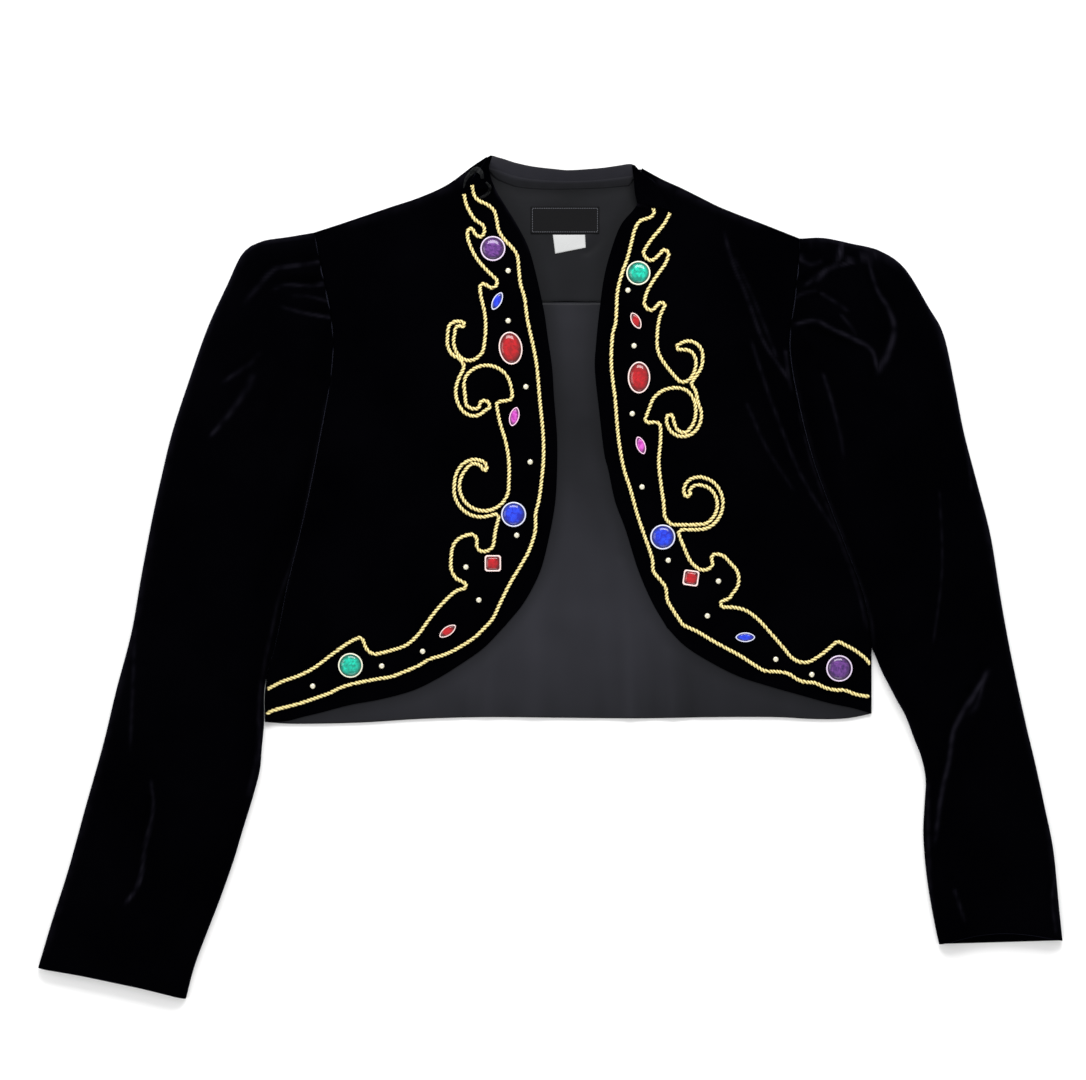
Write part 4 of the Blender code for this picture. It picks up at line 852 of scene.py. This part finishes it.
# Neck band, a row per section from the left front to the right front:
# foot x, foot y, top x, top y, height of the foot, height of the top edge.
bandSections = [
    (-69, 317, -46.5, 318.5, 5.2, 8.0), (-64, 325.5, -49.5, 327, 5.2, 11.0),
    (-56, 333, -50.5, 343, 5.2, 17.0), (-45, 333.5, -41.5, 342, 4.4, 20.0),
    (-29, 328, -28, 337.5, 3.3, 21.0), (-14, 325.5, -14, 334.5, 3.1, 21.0),
    (0.5, 324.5, 0.5, 332.8, 3.1, 21.0), (15.5, 324, 15.5, 331.5, 3.1, 21.0),
    (38.5, 325, 38.5, 333, 3.1, 21.0), (53, 326.5, 53, 335, 3.3, 20.5),
    (66, 328, 65, 337, 4.4, 19.0), (77, 327.5, 68.5, 334.5, 5.2, 17.0),
    (85, 322.5, 68.5, 326, 5.3, 14.0), (91.5, 312, 69.5, 314.5, 5.3, 11.0),
    (97.5, 301.5, 71.5, 306, 5.2, 9.0),
]
band = spline(np.array(bandSections, float), 220)
shares = np.array([0, 0.08, 0.2, 0.34, 0.5, 0.66, 0.8, 0.9, 0.96, 1.0])


def bandGrid(lift, first, last, skirt):
    # the band's inner face from foot to top edge, between two feet given by their x; the skirt runs down
    # to the facing
    rows = band[(band[:, 0] >= first) & (band[:, 0] <= last)]
    stations = np.concatenate([[-0.8, -0.6, -0.42, -0.26, -0.12], shares]) if skirt else shares
    grid = np.zeros((len(rows), len(stations), 3))
    for r, (fx, fy, tx, ty, footZ, topZ) in enumerate(rows):
        free = float(ease((fx - first) / 12) * ease((last - fx) / 5))
        for c, t in enumerate(stations):
            rounded = 1.2 * max(0.0, (t - 0.86) / 0.14) ** 2
            z = footZ + lift + (topZ - footZ) * max(t, 0) - rounded
            if t < 0:
                z += (cloth["liningTop"] + 0.32 - z) * free * float(ease(-t / 0.8))
                t *= 0.05 + 0.95 * free
            grid[r, c] = (fx + t * (tx - fx), fy + t * (ty - fy), z)
    flat = grid[:, :, :2].reshape(-1, 2)
    uneven = ripple(flat, 14, 31).reshape(len(rows), -1)
    grid[:, :, 2] += 0.3 * uneven * np.sin(np.pi * np.clip(stations, 0, 1))
    return grid


bandPiece = shell("velvet_neck_band", bandGrid(1.1, -99, 199, False), 1.1, velvet)
bandFace = bandGrid(2.0, -52.0, 68.5, True)
bandSatin = shell("satin_neck_band", bandFace, 0.25, satin)
bandPlan = bandFace[:, :, :2].reshape(-1, 2)
# painted light on the band, by station from the skirt's low edge to the top edge: its steep face is
# painted paler than the facing below, as if more light fell on it
rises = np.interp(np.arange(bandFace.shape[1]), [0, 3, 5, 7, 12, 13, 14],
                  [0.0, 0.18, 0.8, 1.0, 1.0, 0.3, 0.0])
steep = np.tile(rises, len(bandFace))
below = paintedLightAt("facing", bandPlan)
addTone(bandSatin, "gloss", below + (paintedLightAt("band", bandPlan) - below) * steep
        + satinPaintedLight["band"][1] * ripple(bandPlan, 18, 33))

# Crumpled corners of the band's satin at its left end, a row per roll: points along it, width at each
# point, rise.
crumples = {
    "outer": ([(-71.0, 318.6), (-69.2, 325.4), (-65.2, 330.4), (-60.2, 333.4), (-56.4, 330.2),
               (-55.4, 325.6)],
              [1.0, 2.2, 3.8, 5.0, 4.4, 2.4], 1.1),
    "inner": ([(-57.4, 310.8), (-53.6, 312.4), (-50.2, 315.6), (-49.4, 319.4), (-52.6, 323.0)],
              [1.8, 3.0, 2.8, 2.4, 1.4], 0.9),
}
bandTree = treeOf(bandPiece, frontPieces["left"])
crumplePieces = []
along, wideCount = 40, 15      # stations along a roll and across it
for name, (path, widths, rise) in crumples.items():
    line = spline(path, along)
    wide = np.interp(np.linspace(0, 1, along), np.linspace(0, 1, len(widths)), widths)
    way = np.gradient(line, axis=0)
    way /= np.linalg.norm(way, axis=1)[:, None]
    side = np.column_stack([-way[:, 1], way[:, 0]])
    u = np.linspace(-0.5, 0.5, wideCount)
    grid = np.zeros((along, wideCount, 3))
    grid[:, :, :2] = line[:, None] + side[:, None] * wide[:, None, None] * u[None, :, None]
    spots = grid[:, :, :2].reshape(-1, 2)
    under = np.array([heightOver(bandTree, x, y, cloth["frontEdge"]) for x, y in spots])
    under = under.reshape(along, wideCount)
    tips = np.sin(np.pi * np.linspace(0.06, 0.94, along))[:, None]
    arch = rise * np.sqrt(np.clip(1 - (2 * u) ** 2, 0, 1))[None, :] * tips
    pleat = 1.6 * ripple(spots, 3.4, 51).reshape(along, wideCount) * (arch / rise)
    grid[:, :, 2] = softened(under.max(axis=1), 6)[:, None] + 0.3 + arch + pleat
    crumplePieces.append(shell(f"satin_band_crumple_{name}", grid, 0.25, satin))
    # the crumples are painted dark, as shade in their folds, with faint patches
    patches = satinPaintedLight["crumple"][1] * ripple(spots, 5, 53)
    addTone(crumplePieces[-1], "gloss", paintedLightAt("crumple", spots) + patches)

print("labels")
wovenLabel = {
    "middle": (12.0, 292.5), "size": (56.0, 22.0), "thick": 1.0, "edgeDrop": 0.4, "wave": 0.15,
    "border": 1.35, "stitch": 1.5, "stitchGap": 0.35, "threadRadius": 0.32,
}
careLabel = {"corners": [(2.0, 280.6), (28.5, 280.6), (29.0, 270.0), (4.0, 265.0)],
             "thick": 0.9, "edgeDrop": 0.3, "wave": 0.2}


def slab(name, corners, bottom, sizes, material, rows, cols):
    # a soft-edged flat piece between four corners (upper left, upper right, lower right, lower left)
    thick, bevel, wave = sizes["thick"], sizes["edgeDrop"], sizes["wave"]
    a, b, c, d = [np.array(p, float) for p in corners]
    u, v = np.linspace(0, 1, cols), np.linspace(0, 1, rows)
    grid = np.zeros((rows, cols, 3))
    for r in range(rows):
        left, right = a + (d - a) * v[r], b + (c - b) * v[r]
        grid[r, :, :2] = left + (right - left) * u[:, None]
    loop = np.array([a, b, c, d, a])
    near = distanceTo(loop, grid[:, :, :2].reshape(-1, 2)).reshape(rows, cols)
    grid[:, :, 2] = bottom + thick - bevel * (1 - rollUp(near, 0.9))
    grid[:, :, 2] += wave * np.sin(np.linspace(0, 5, cols))[None, :] * np.sin(np.pi * v)[:, None]
    return shell(name, grid, thick - bevel, material)


(cx, cy), (w, h) = wovenLabel["middle"], wovenLabel["size"]
labelBottom = cloth["liningTop"] + 0.55
labelCorners = [(cx - w / 2, cy + h / 2), (cx + w / 2, cy + h / 2),
                (cx + w / 2, cy - h / 2), (cx - w / 2, cy - h / 2)]
labelPiece = slab("woven_label", labelCorners, labelBottom, wovenLabel, labelStuff, 40, 90)
tapePiece = slab("care_tape", careLabel["corners"], labelBottom - 0.1, careLabel, tapeStuff, 24, 40)


def stitchLine(name, path, sizes, z, material):
    # short straight stitches along a line
    length, radius, sides = sizes["stitch"], sizes["threadRadius"], 6
    plan = spline(path, 0, length + sizes["stitchGap"])
    points, faces = [], []
    for start, after in zip(plan[:-1], plan[1:]):
        way = (after - start) / np.linalg.norm(after - start)
        end = start + way * length
        side = np.array([-way[1], way[0]])
        first = len(points)
        for t in np.linspace(0, 1, 4):
            spot = start + (end - start) * t
            rise = z + radius * 0.8 * math.sin(math.pi * t)
            for k in range(sides):
                angle = 2 * math.pi * k / sides
                offset = side * radius * math.cos(angle) * (0.6 if t in (0, 1) else 1)
                points.append((spot[0] + offset[0], spot[1] + offset[1], rise + radius * math.sin(angle)))
        for t in range(3):
            for k in range(sides):
                a, b = first + t * sides + k, first + t * sides + (k + 1) % sides
                faces.append((a, b, b + sides, a + sides))
        faces.append(tuple(first + k for k in range(sides))[::-1])
        faces.append(tuple(first + 3 * sides + k for k in range(sides)))
    return meshObject(name, points, faces, material)


edge = wovenLabel["border"]
stitched = [(cx - w / 2 + edge, cy + h / 2 - edge), (cx + w / 2 - edge, cy + h / 2 - edge),
            (cx + w / 2 - edge, cy - h / 2 + edge), (cx - w / 2 + edge, cy - h / 2 + edge)]
borderPieces = [stitchLine(f"label_stitches_{k}", [stitched[k], stitched[(k + 1) % 4]], wovenLabel,
                           labelBottom + 1.02, borderStuff) for k in range(4)]

print("cords")
cords = {
    "strand": 0.82, "offset": 0.88,    # radius of a strand, and of the helix that its middle follows
    "pitch": 6.0, "step": 0.72,        # length of one turn, distance between stations
    "sides": 6, "sink": 0.25,          # sides of a strand, depth pressed into the pile
    # Points that the edge cord passes, from the neck down.
    "edge": {
        "left": [(-64, 320.5), (-62.4, 313), (-58.5, 308.3), (-51.5, 305), (-46, 300), (-43.8, 292),
            (-42.3, 284), (-38, 277), (-31, 269.5), (-27, 263), (-25.8, 252), (-24.4, 240), (-21, 228),
            (-18.6, 210), (-14.2, 190), (-11, 172), (-8.6, 145), (-6, 118), (-5.6, 98), (-7, 81),
            (-9.2, 64), (-12, 52), (-12.4, 38), (-17.2, 22.5), (-24, 10), (-33, -5), (-41, -21),
            (-47, -33.5), (-55, -42.5), (-63.5, -50.3), (-77.5, -59), (-88, -63.7), (-98.5, -66.8),
            (-108, -72.3), (-119.5, -77.2), (-130, -81.2), (-141, -83), (-159.5, -86.6), (-171, -90),
            (-181, -94.8), (-190, -98), (-203, -102.5), (-214, -105.5), (-226, -108.6), (-232.2, -111.6)],
        "right": [(84.2, 302), (84.8, 298), (81.4, 294.4), (73.4, 291.6), (69.2, 284.8), (66.6, 275),
            (63.2, 261.5), (58.4, 248), (55, 234), (54.2, 220.5), (53.4, 208), (51.2, 200), (50, 186.5),
            (50, 172.5), (51.5, 157.5), (53, 146.5), (55, 121), (57.2, 104), (60.4, 88), (65.2, 73),
            (71, 52), (76, 37), (80.8, 23.5), (83.6, 14), (84.4, 5), (90, -2.2), (94.4, -8.5),
            (95.8, -18.6), (100.5, -27), (105.2, -34), (109, -39), (120.4, -44.4), (132, -51.4), (144, -58),
            (155.6, -64.3), (167.3, -71.9), (175.5, -76.4), (186, -77.2), (194.2, -78.6), (202.4, -83.6),
            (208.3, -85.6), (216.5, -86.4), (225.8, -90.6), (234, -92.2), (241, -92.4), (250.4, -95.8),
            (260.9, -97.6)],
    },
    # Bends of the scroll cord: a point that it passes, or an arc given by its middle x and y, half
    # width, half height, start and sweep in degrees.
    "scroll": {
        "left": [(-70.6, 313.5), (-68.3, 304), (-62.3, 293.5), (-58.6, 284, 4.8, 5.8, 60, -130),
            (-61.1, 280.4), (-64.9, 282, 2.9, 3.4, 60, 115), (-66.9, 275), (-61.3, 262.5), (-53.3, 252.5),
            (-47.7, 241.2, 4.2, 4.4, 40, -150), (-54.7, 236.9, 2.8, 3.2, 70, 110), (-56.8, 230),
            (-53.7, 216), (-52.9, 203), (-66.3, 193.5, 12.8, 16.2, -25, -178),
            (-74.1, 201.8, 4.2, 3.8, 150, -90), (-72.1, 207, 1.8, 1.8, -50, 130),
            (-75.9, 201.2, 8, 8.2, 90, 65), (-72.5, 193, 11.8, 14.2, 170, 88), (-70.7, 172.6),
            (-62.5, 151.8, 14.8, 19.8, 145, 165), (-53.9, 140.2, 4.2, 4.4, -20, 170),
            (-62.1, 145.6, 7.8, 7.8, -62, -90), (-56.9, 156, 13.8, 16.6, 200, -55),
            (-52.1, 153, 20.2, 20.4, 115, -108), (-31.9, 146.2), (-40.3, 140.2, 3.6, 3.8, 85, 85),
            (-41.3, 127), (-36.3, 110), (-33.9, 94), (-54.1, 74.6, 20.2, 20.2, 5, -220),
            (-61.9, 85.2, 7.6, 7.8, 118, -92), (-54.1, 89.4, 2.2, 2.2, -80, 130),
            (-61.7, 77.6, 16.4, 18.8, 62, 95), (-56.7, 72.4, 22.2, 23, 168, 104),
            (-44.9, 48.8, 2.6, 2.8, 100, -110), (-44.9, 38), (-54.7, 28.4, 8.4, 7.2, -15, -95),
            (-56.1, 26.4, 4.2, 4.6, 240, -80), (-65.1, 30.6, 5, 4.6, 15, 75),
            (-66.9, 18.8, 14, 15.6, 105, 55), (-68.7, 10.6, 12.8, 15, 170, 55), (-74.5, -2.2),
            (-71.5, -6.6, 2.6, 2.6, 50, -125), (-78.3, -12), (-90.3, -23.5), (-100.3, -36), (-108.3, -47),
            (-118.3, -55.6), (-131.3, -60), (-142.7, -53.8, 9, 8.8, -85, -75),
            (-156.3, -52.6, 3.4, 3.2, 20, 90), (-165.3, -53.6), (-177.3, -62), (-193.3, -74),
            (-206.3, -80.6), (-219.3, -85.2), (-231.3, -91.4)],
        "right": [(97.9, 298), (92.7, 288.5), (83.1, 277), (82.7, 265.6, 6.2, 6.2, 165, 115), (89.1, 264),
            (93.1, 263.6, 3.6, 4.2, 110, -115), (93.7, 256), (85.5, 244.5), (79.3, 234),
            (82.5, 225.2, 5.6, 6.6, 178, 105), (90.7, 222, 2.8, 2.8, 115, -115), (89.5, 213), (87.5, 200),
            (87.9, 186), (92.9, 175.5), (108.9, 177.2, 10.2, 17.4, 240, 115),
            (109.9, 177, 8.8, 9.2, 25, 70), (105.7, 188.4, 2.2, 2.2, -110, -125),
            (112.9, 180.8, 11.8, 12.4, 105, -115), (107.9, 178.2, 16.6, 18, -12, -30), (115.5, 158.4),
            (118.7, 152.4), (108.7, 132.8, 14.8, 17.6, 35, -130), (107.5, 128.4, 12.4, 13, -112, -58),
            (97.7, 130.4, 2.6, 2.6, 175, -165), (109.5, 127.6, 8.2, 9.2, 195, 85),
            (107.3, 136, 11.6, 18, -62, 95), (101.9, 134.8, 21.4, 20.2, 64, 108),
            (80.5, 129.6, 2.8, 3, 175, 90), (85.9, 122.6, 4.2, 4.4, 100, -95), (90.1, 112), (88.7, 94),
            (90.5, 76), (92.5, 62), (102.9, 53.4, 9.8, 10.4, 195, 68), (121.4, 59.4, 15.1, 16.2, -80, 168),
            (121, 68.6, 7.6, 7, 98, 72), (112, 68.8, 2.6, 2.6, 0, -175), (121, 70.6, 12, 11.4, 168, -78),
            (121.7, 60.6, 19.4, 21.4, 82, -165), (108.5, 35.8, 3.4, 3.2, 85, 105), (109.5, 24),
            (114.3, 13.6), (125.3, 14.2, 8.4, 8.2, 225, 105), (135.4, 15.4, 3.6, 3.8, 185, -100),
            (141.7, 17.4), (139.3, -1.6, 14.8, 15.4, 55, -105), (146.1, -17.2),
            (142.1, -21.6, 2.8, 2.8, 110, 145), (150.5, -24.6), (160.5, -27.4), (170.5, -35), (180.5, -46),
            (191.5, -58.6), (207.7, -52.6, 16, 17, 225, 85), (225.5, -60.2), (235.7, -58, 5, 5.2, 135, -90),
            (248.5, -59.2), (257.5, -66), (261.4, -71)],
    },
}


def bendPoints(bend, step):
    # points of one bend, a step in degrees apart on an arc
    if len(bend) == 2:
        return [bend]
    x, y, half, tall, start, sweep = bend
    angles = np.radians(np.linspace(start, start + sweep, max(3, int(abs(sweep) / step) + 1)))
    return [(x + half * math.cos(angle), y + tall * math.sin(angle)) for angle in angles]


def scrollPath(side):
    # all bends of a scroll cord, one after another
    points = []
    for bend in cords["scroll"][side]:
        points += bendPoints(bend, 22)
    return np.array(points)


def twistedCord(name, path, tree, material):
    # two round strands wound round each other, laid along the path on the cloth
    plan = spline(path, 0, cords["step"])
    radius = cords["strand"] + cords["offset"] * 0.86
    z = np.array([heightOver(tree, x, y, cloth["frontEdge"]) for x, y in plan]) + radius - cords["sink"]
    line = np.column_stack([plan, softened(z, 12)])
    tangent = np.gradient(line, axis=0)
    tangent /= np.linalg.norm(tangent, axis=1)[:, None]
    across = np.column_stack([-tangent[:, 1], tangent[:, 0], np.zeros(len(line))])
    across /= np.linalg.norm(across, axis=1)[:, None]
    up = np.cross(tangent, across)
    up *= np.sign(up[:, 2])[:, None]
    lengths = np.concatenate([[0], np.cumsum(np.linalg.norm(np.diff(line, axis=0), axis=1))])
    points, faces, lifts, sides = [], [], [], cords["sides"]
    uneven = ripple(np.column_stack([lengths, 0 * lengths]), 9, 41)
    for strand in (0, 1):
        turn = 2 * math.pi * lengths / cords["pitch"] + 1.6 * uneven + strand * math.pi
        middle = line + cords["offset"] * (np.cos(turn)[:, None] * across + np.sin(turn)[:, None] * up)
        way = np.gradient(middle, axis=0)
        way /= np.linalg.norm(way, axis=1)[:, None]
        sideways = np.cross(way, up)
        sideways /= np.linalg.norm(sideways, axis=1)[:, None]
        above = np.cross(sideways, way)
        first = len(points)
        # the strand's height in the twist, which the cord's colour uses as painted shade in the grooves
        lifts.append(np.repeat(0.5 + 0.5 * np.sin(turn), sides))
        for k in range(len(middle)):
            for j in range(sides):
                angle = 2 * math.pi * j / sides
                thick = cords["strand"] * (1 + 0.12 * uneven[k])
                outward = math.cos(angle) * sideways[k] + math.sin(angle) * above[k]
                points.append(middle[k] + thick * outward)
        for k in range(len(middle) - 1):
            for j in range(sides):
                a, b = first + k * sides + j, first + k * sides + (j + 1) % sides
                faces.append((a, a + sides, b + sides, b))
        faces.append(tuple(first + j for j in range(sides)))
        faces.append(tuple(first + (len(middle) - 1) * sides + j for j in range(sides))[::-1])
    cord = meshObject(name, points, faces, material)
    addTone(cord, "lift", np.concatenate(lifts))
    return cord


cordPieces = {}
for side in ("left", "right"):
    tree = treeOf(frontPieces[side], bandPiece)
    for name, route in (("edge_cord", cords["edge"][side]), ("scroll_cord", scrollPath(side))):
        cordPieces[f"{name}_{side}"] = twistedCord(f"gilt_{name}_{side}", route, tree, cordStuff)

print("stones and studs")
# Stones, a row per stone: front, cut, colour, x, y, length, width, turn in degrees.
stones = [
    ("left", "round", "purple", -47, 269, 20.5, 20.5, 0),
    ("left", "marquise", "blue", -43.5, 226, 16.0, 7.6, 62),
    ("left", "oval", "red", -32.5, 187.5, 27.0, 19.4, 98),
    ("left", "marquise", "pink", -29.5, 131.5, 16.0, 8.2, 75),
    ("left", "round", "blue", -30, 51.5, 20.5, 20.5, 0),
    ("left", "square", "red", -47, 11.5, 13.4, 13.4, 0),
    ("left", "marquise", "red", -84, -44, 16.0, 7.6, 35),
    ("left", "round", "green", -163.5, -72, 20.3, 20.3, 0),
    ("right", "round", "green", 72, 249, 19.8, 19.8, 0),
    ("right", "marquise", "red", 70, 210, 14.6, 7.6, 118),
    ("right", "oval", "red", 72.5, 163.5, 26.0, 18.4, 90),
    ("right", "marquise", "pink", 74, 108, 15.2, 7.6, 110),
    ("right", "round", "blue", 92, 33, 20.5, 20.5, 0),
    ("right", "square", "red", 115, -0.5, 12.8, 12.8, -8),
    ("right", "marquise", "blue", 159.5, -49, 16.0, 8.0, 0),
    ("right", "round", "purple", 236.5, -74.5, 21.6, 21.6, 0),
]
mount = {
    "rimWidth": 1.25, "slimRim": 1.0,      # the slim rim is that of the marquise stones
    "rimRise": 2.1,
    "domeRise": 3.0, "flatRise": 1.2,      # of round and oval stones, and of the flat-topped cuts
}
studs = {
    "left": [(-34.5, 251), (-34.5, 210), (-20, 156), (-16.5, 94.5), (-27.5, 34.5), (-69, 8.5),
             (-58.5, -18.5), (-104.5, -60.5), (-138, -72.5), (-194.5, -89)],
    "right": [(63.5, 235), (68.5, 189.5), (67, 134), (75, 74), (96.5, 14), (137.5, -3),
              (128.5, -31.5), (184.5, -67), (214, -79.5)],
    "width": 4.5, "rise": 1.9,
}


def stoneOutline(cut, length, width, count):
    # plan of a cut stone round its middle
    angle = 2 * np.pi * np.arange(count) / count
    c, s = np.cos(angle), np.sin(angle)
    if cut == "square":
        grow = np.minimum(1 / np.maximum(np.abs(c), np.abs(s)), 1.27)
        return np.column_stack([0.5 * length * c * grow, 0.5 * width * s * grow])
    if cut == "marquise":
        return np.column_stack([0.5 * length * c, 0.5 * width * s * (0.70 + 0.30 * np.abs(s))])
    return np.column_stack([0.5 * length * c, 0.5 * width * s])


def seatOf(tree, x, y, spots):
    # slope and height of the plane on which a stone rests
    under = np.array([heightOver(tree, x + dx, y + dy, cloth["frontEdge"]) for dx, dy in spots])
    slope, *_ = np.linalg.lstsq(np.column_stack([spots, np.ones(len(spots))]), under, rcond=None)
    lift = (under - spots @ slope[:2] - slope[2]).max() + slope[2] + 0.1
    return slope[0], slope[1], lift


def levelRing(plan, height):
    # the plan's points, all at one height
    return [(x, y, height) for x, y in plan]


def ringSolid(name, seat, x, y, rings, material, smooth=True):
    # rings of points (offset x, offset y, height over the seat), closed at both ends
    count = len(rings[0])
    points, faces = [], []
    for ring in rings:
        for dx, dy, rise in ring:
            points.append((x + dx, y + dy, seat[2] + seat[0] * dx + seat[1] * dy + rise))
    for k in range(len(rings) - 1):
        for j in range(count):
            a, b = k * count + j, k * count + (j + 1) % count
            faces.append((a, b, b + count, a + count))
    faces.append(tuple(range(count))[::-1])
    faces.append(tuple(range((len(rings) - 1) * count, len(rings) * count)))
    return meshObject(name, points, faces, material, smooth)


stonePieces = []
for number, (side, cut, colour, x, y, length, width, turn) in enumerate(stones, 1):
    tree = frontTrees[side]
    angle = math.radians(turn)
    spin = np.array([[math.cos(angle), math.sin(angle)], [-math.sin(angle), math.cos(angle)]])
    rimWidth = mount["rimWidth"] if cut != "marquise" else mount["slimRim"]
    outer = stoneOutline(cut, length, width, 64)
    inner = stoneOutline(cut, length - 2 * rimWidth, width - 2 * rimWidth, 64)
    middle = 0.5 * (outer + inner)
    seat = seatOf(tree, x, y, np.vstack([outer[::4] @ spin, outer[::4] @ spin * 0.5, [[0, 0]]]))
    rise = mount["rimRise"] * (1 if cut != "marquise" else 0.8)
    rimLevels = [(outer, 0), (outer, 0.55), (0.85 * outer + 0.15 * middle, 0.82),
                 (0.5 * outer + 0.5 * middle, 0.97), (middle, 1), (0.5 * inner + 0.5 * middle, 0.97),
                 (inner, 0.8), (inner * 0.98, 0.3)]
    rimRings = [levelRing(plan @ spin, rise * q) for plan, q in rimLevels]
    rim = ringSolid(f"rim_{number:02d}", seat, x, y, rimRings, rimStuff[colour])
    dome = mount["domeRise"] * min(1, width / 16) if cut in ("round", "oval") else mount["flatRise"]
    base = 0.72 * rise
    if cut in ("round", "oval"):
        levels = [(1.0, 0.0), (0.99, 0.14), (0.96, 0.30), (0.91, 0.45), (0.84, 0.60), (0.74, 0.74),
                  (0.62, 0.85), (0.48, 0.93), (0.32, 0.98), (0.16, 1.0)]
    elif cut == "square":
        levels = [(1.0, 0.1), (0.97, 0.35), (0.72, 0.9), (0.66, 1.0), (0.3, 1.02)]
    else:
        levels = [(1.0, 0.1), (0.96, 0.4), (0.8, 0.85), (0.6, 1.0), (0.3, 1.05)]
    domeRings = [levelRing(inner @ spin * 0.995, 0.25 * rise)]
    domeRings += [levelRing(inner @ spin * k, base + dome * q) for k, q in levels]
    stone = ringSolid(f"cabochon_{number:02d}", seat, x, y, domeRings, stoneStuff[colour])
    stonePieces.append((number, cut, colour, rim, stone))

studPieces = []
for side in ("left", "right"):
    for number, (x, y) in enumerate(studs[side], 1):
        circle = stoneOutline("round", studs["width"], studs["width"], 24)
        seat = seatOf(frontTrees[side], x, y, circle[::3])
        levels = [(1.0, 0.0), (1.0, 0.35), (0.93, 0.6), (0.78, 0.82), (0.55, 0.95), (0.25, 1.0)]
        rings = [levelRing(circle * k, studs["rise"] * q) for k, q in levels]
        studPieces.append(ringSolid(f"stud_{side}_{number:02d}", seat, x, y, rings, studStuff))

def cutOf(obj, rests, slotName, *nodes, with_=()):
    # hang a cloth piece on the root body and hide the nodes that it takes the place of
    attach(obj, "root")
    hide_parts(*nodes)


for side in ("left", "right"):
    for name in (f"edge_cord_{side}", f"scroll_cord_{side}"):
        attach(cordPieces[name], "root")
        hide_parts(name)
for number, cut, colour, rim, stone in stonePieces:
    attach(rim, "root")
    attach(stone, "root")
    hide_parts(f"stone_{number:02d}_{cut}_{colour}")
for piece in studPieces + borderPieces + crumplePieces:
    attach(piece, "root")
cutOf(backPiece, (), "velvet", "back")
cutOf(facingPiece, (backPiece,), "satin", "neck_facing")
cutOf(liningPiece, (backPiece,), "satin", "lining")
for side in ("left", "right"):
    cutOf(frontPieces[side], (liningPiece,), "velvet", f"front_{side}")
    cutOf(sleevePieces[side, "upper"], (sleevePieces[side, "under"],), "velvet", f"sleeve_{side}_upper")
    cutOf(sleevePieces[side, "under"], (), "velvet", f"sleeve_{side}_under")
cutOf(bandPiece, (facingPiece,), "velvet", "neck_band")
cutOf(bandSatin, (bandPiece,), "satin", "neck_band", with_=crumplePieces)
cutOf(labelPiece, (facingPiece,), "woven_label", "brand_label", with_=borderPieces)
cutOf(tapePiece, (facingPiece,), "care_tape", "care_label")

print("floor, light, camera")
floorMesh = bpy.data.meshes.new("floor")
reach, floorTop = 4, -0.0004      # metres
floorMesh.from_pydata([(-reach, -reach, floorTop), (reach, -reach, floorTop), (reach, reach, floorTop),
                       (-reach, reach, floorTop)], [], [(0, 1, 2, 3)])
floor = bpy.data.objects.new("floor", floorMesh)
bpy.context.scene.collection.objects.link(floor)
floorMesh.materials.append(newMaterial("matt white table top", {
    "Base Color": toLinear("#F7F7F7"), "Roughness": 0.9, "Specular IOR Level": 0.1})[0])

world = bpy.data.worlds.new("studio")
bpy.context.scene.world = world
world.use_nodes = True
world.node_tree.nodes["Background"].inputs["Color"].default_value = toLinear("#FFFFFF")
world.node_tree.nodes["Background"].inputs["Strength"].default_value = 0.75


def areaLight(name, where, aim, size, power):
    # a soft rectangular light
    data = bpy.data.lights.new(name, "AREA")
    data.shape = "RECTANGLE"
    data.size, data.size_y, data.energy = size[0], size[1], power
    obj = bpy.data.objects.new(name, data)
    bpy.context.scene.collection.objects.link(obj)
    obj.location = where
    obj.rotation_euler = (Vector(aim) - Vector(where)).to_track_quat("-Z", "Y").to_euler()


# Lights in metres: place, what it is aimed at, width and height, power in watts.
lights = {
    "key above the neck": ((0.15, 1.5, 1.5), (0, 0.1, 0), (1.6, 0.9), 42.0),
    "fill at the left": ((-1.7, 0.2, 1.3), (0, 0, 0), (1.2, 1.2), 10.0),
    "fill below the hem": ((0.1, -1.9, 1.1), (0, 0, 0), (1.4, 0.8), 7.0),
}
for name, (where, aim, size, power) in lights.items():
    areaLight(name, where, aim, size, power)

# Camera straight above the table, with a long lens as in the photograph.
cameraData = bpy.data.cameras.new("camera")
cameraData.lens = 121.28
cameraData.sensor_width = 36.0
cameraData.clip_end = 20.0
camera = bpy.data.objects.new("camera", cameraData)
bpy.context.scene.collection.objects.link(camera)
camera.location = (-0.006, 0.0306, 3.0)
camera.rotation_euler = (0, 0, 0)
bpy.context.scene.camera = camera
bpy.context.scene.view_settings.view_transform = "Standard"
bpy.context.scene.view_settings.look = "None"

print("done")
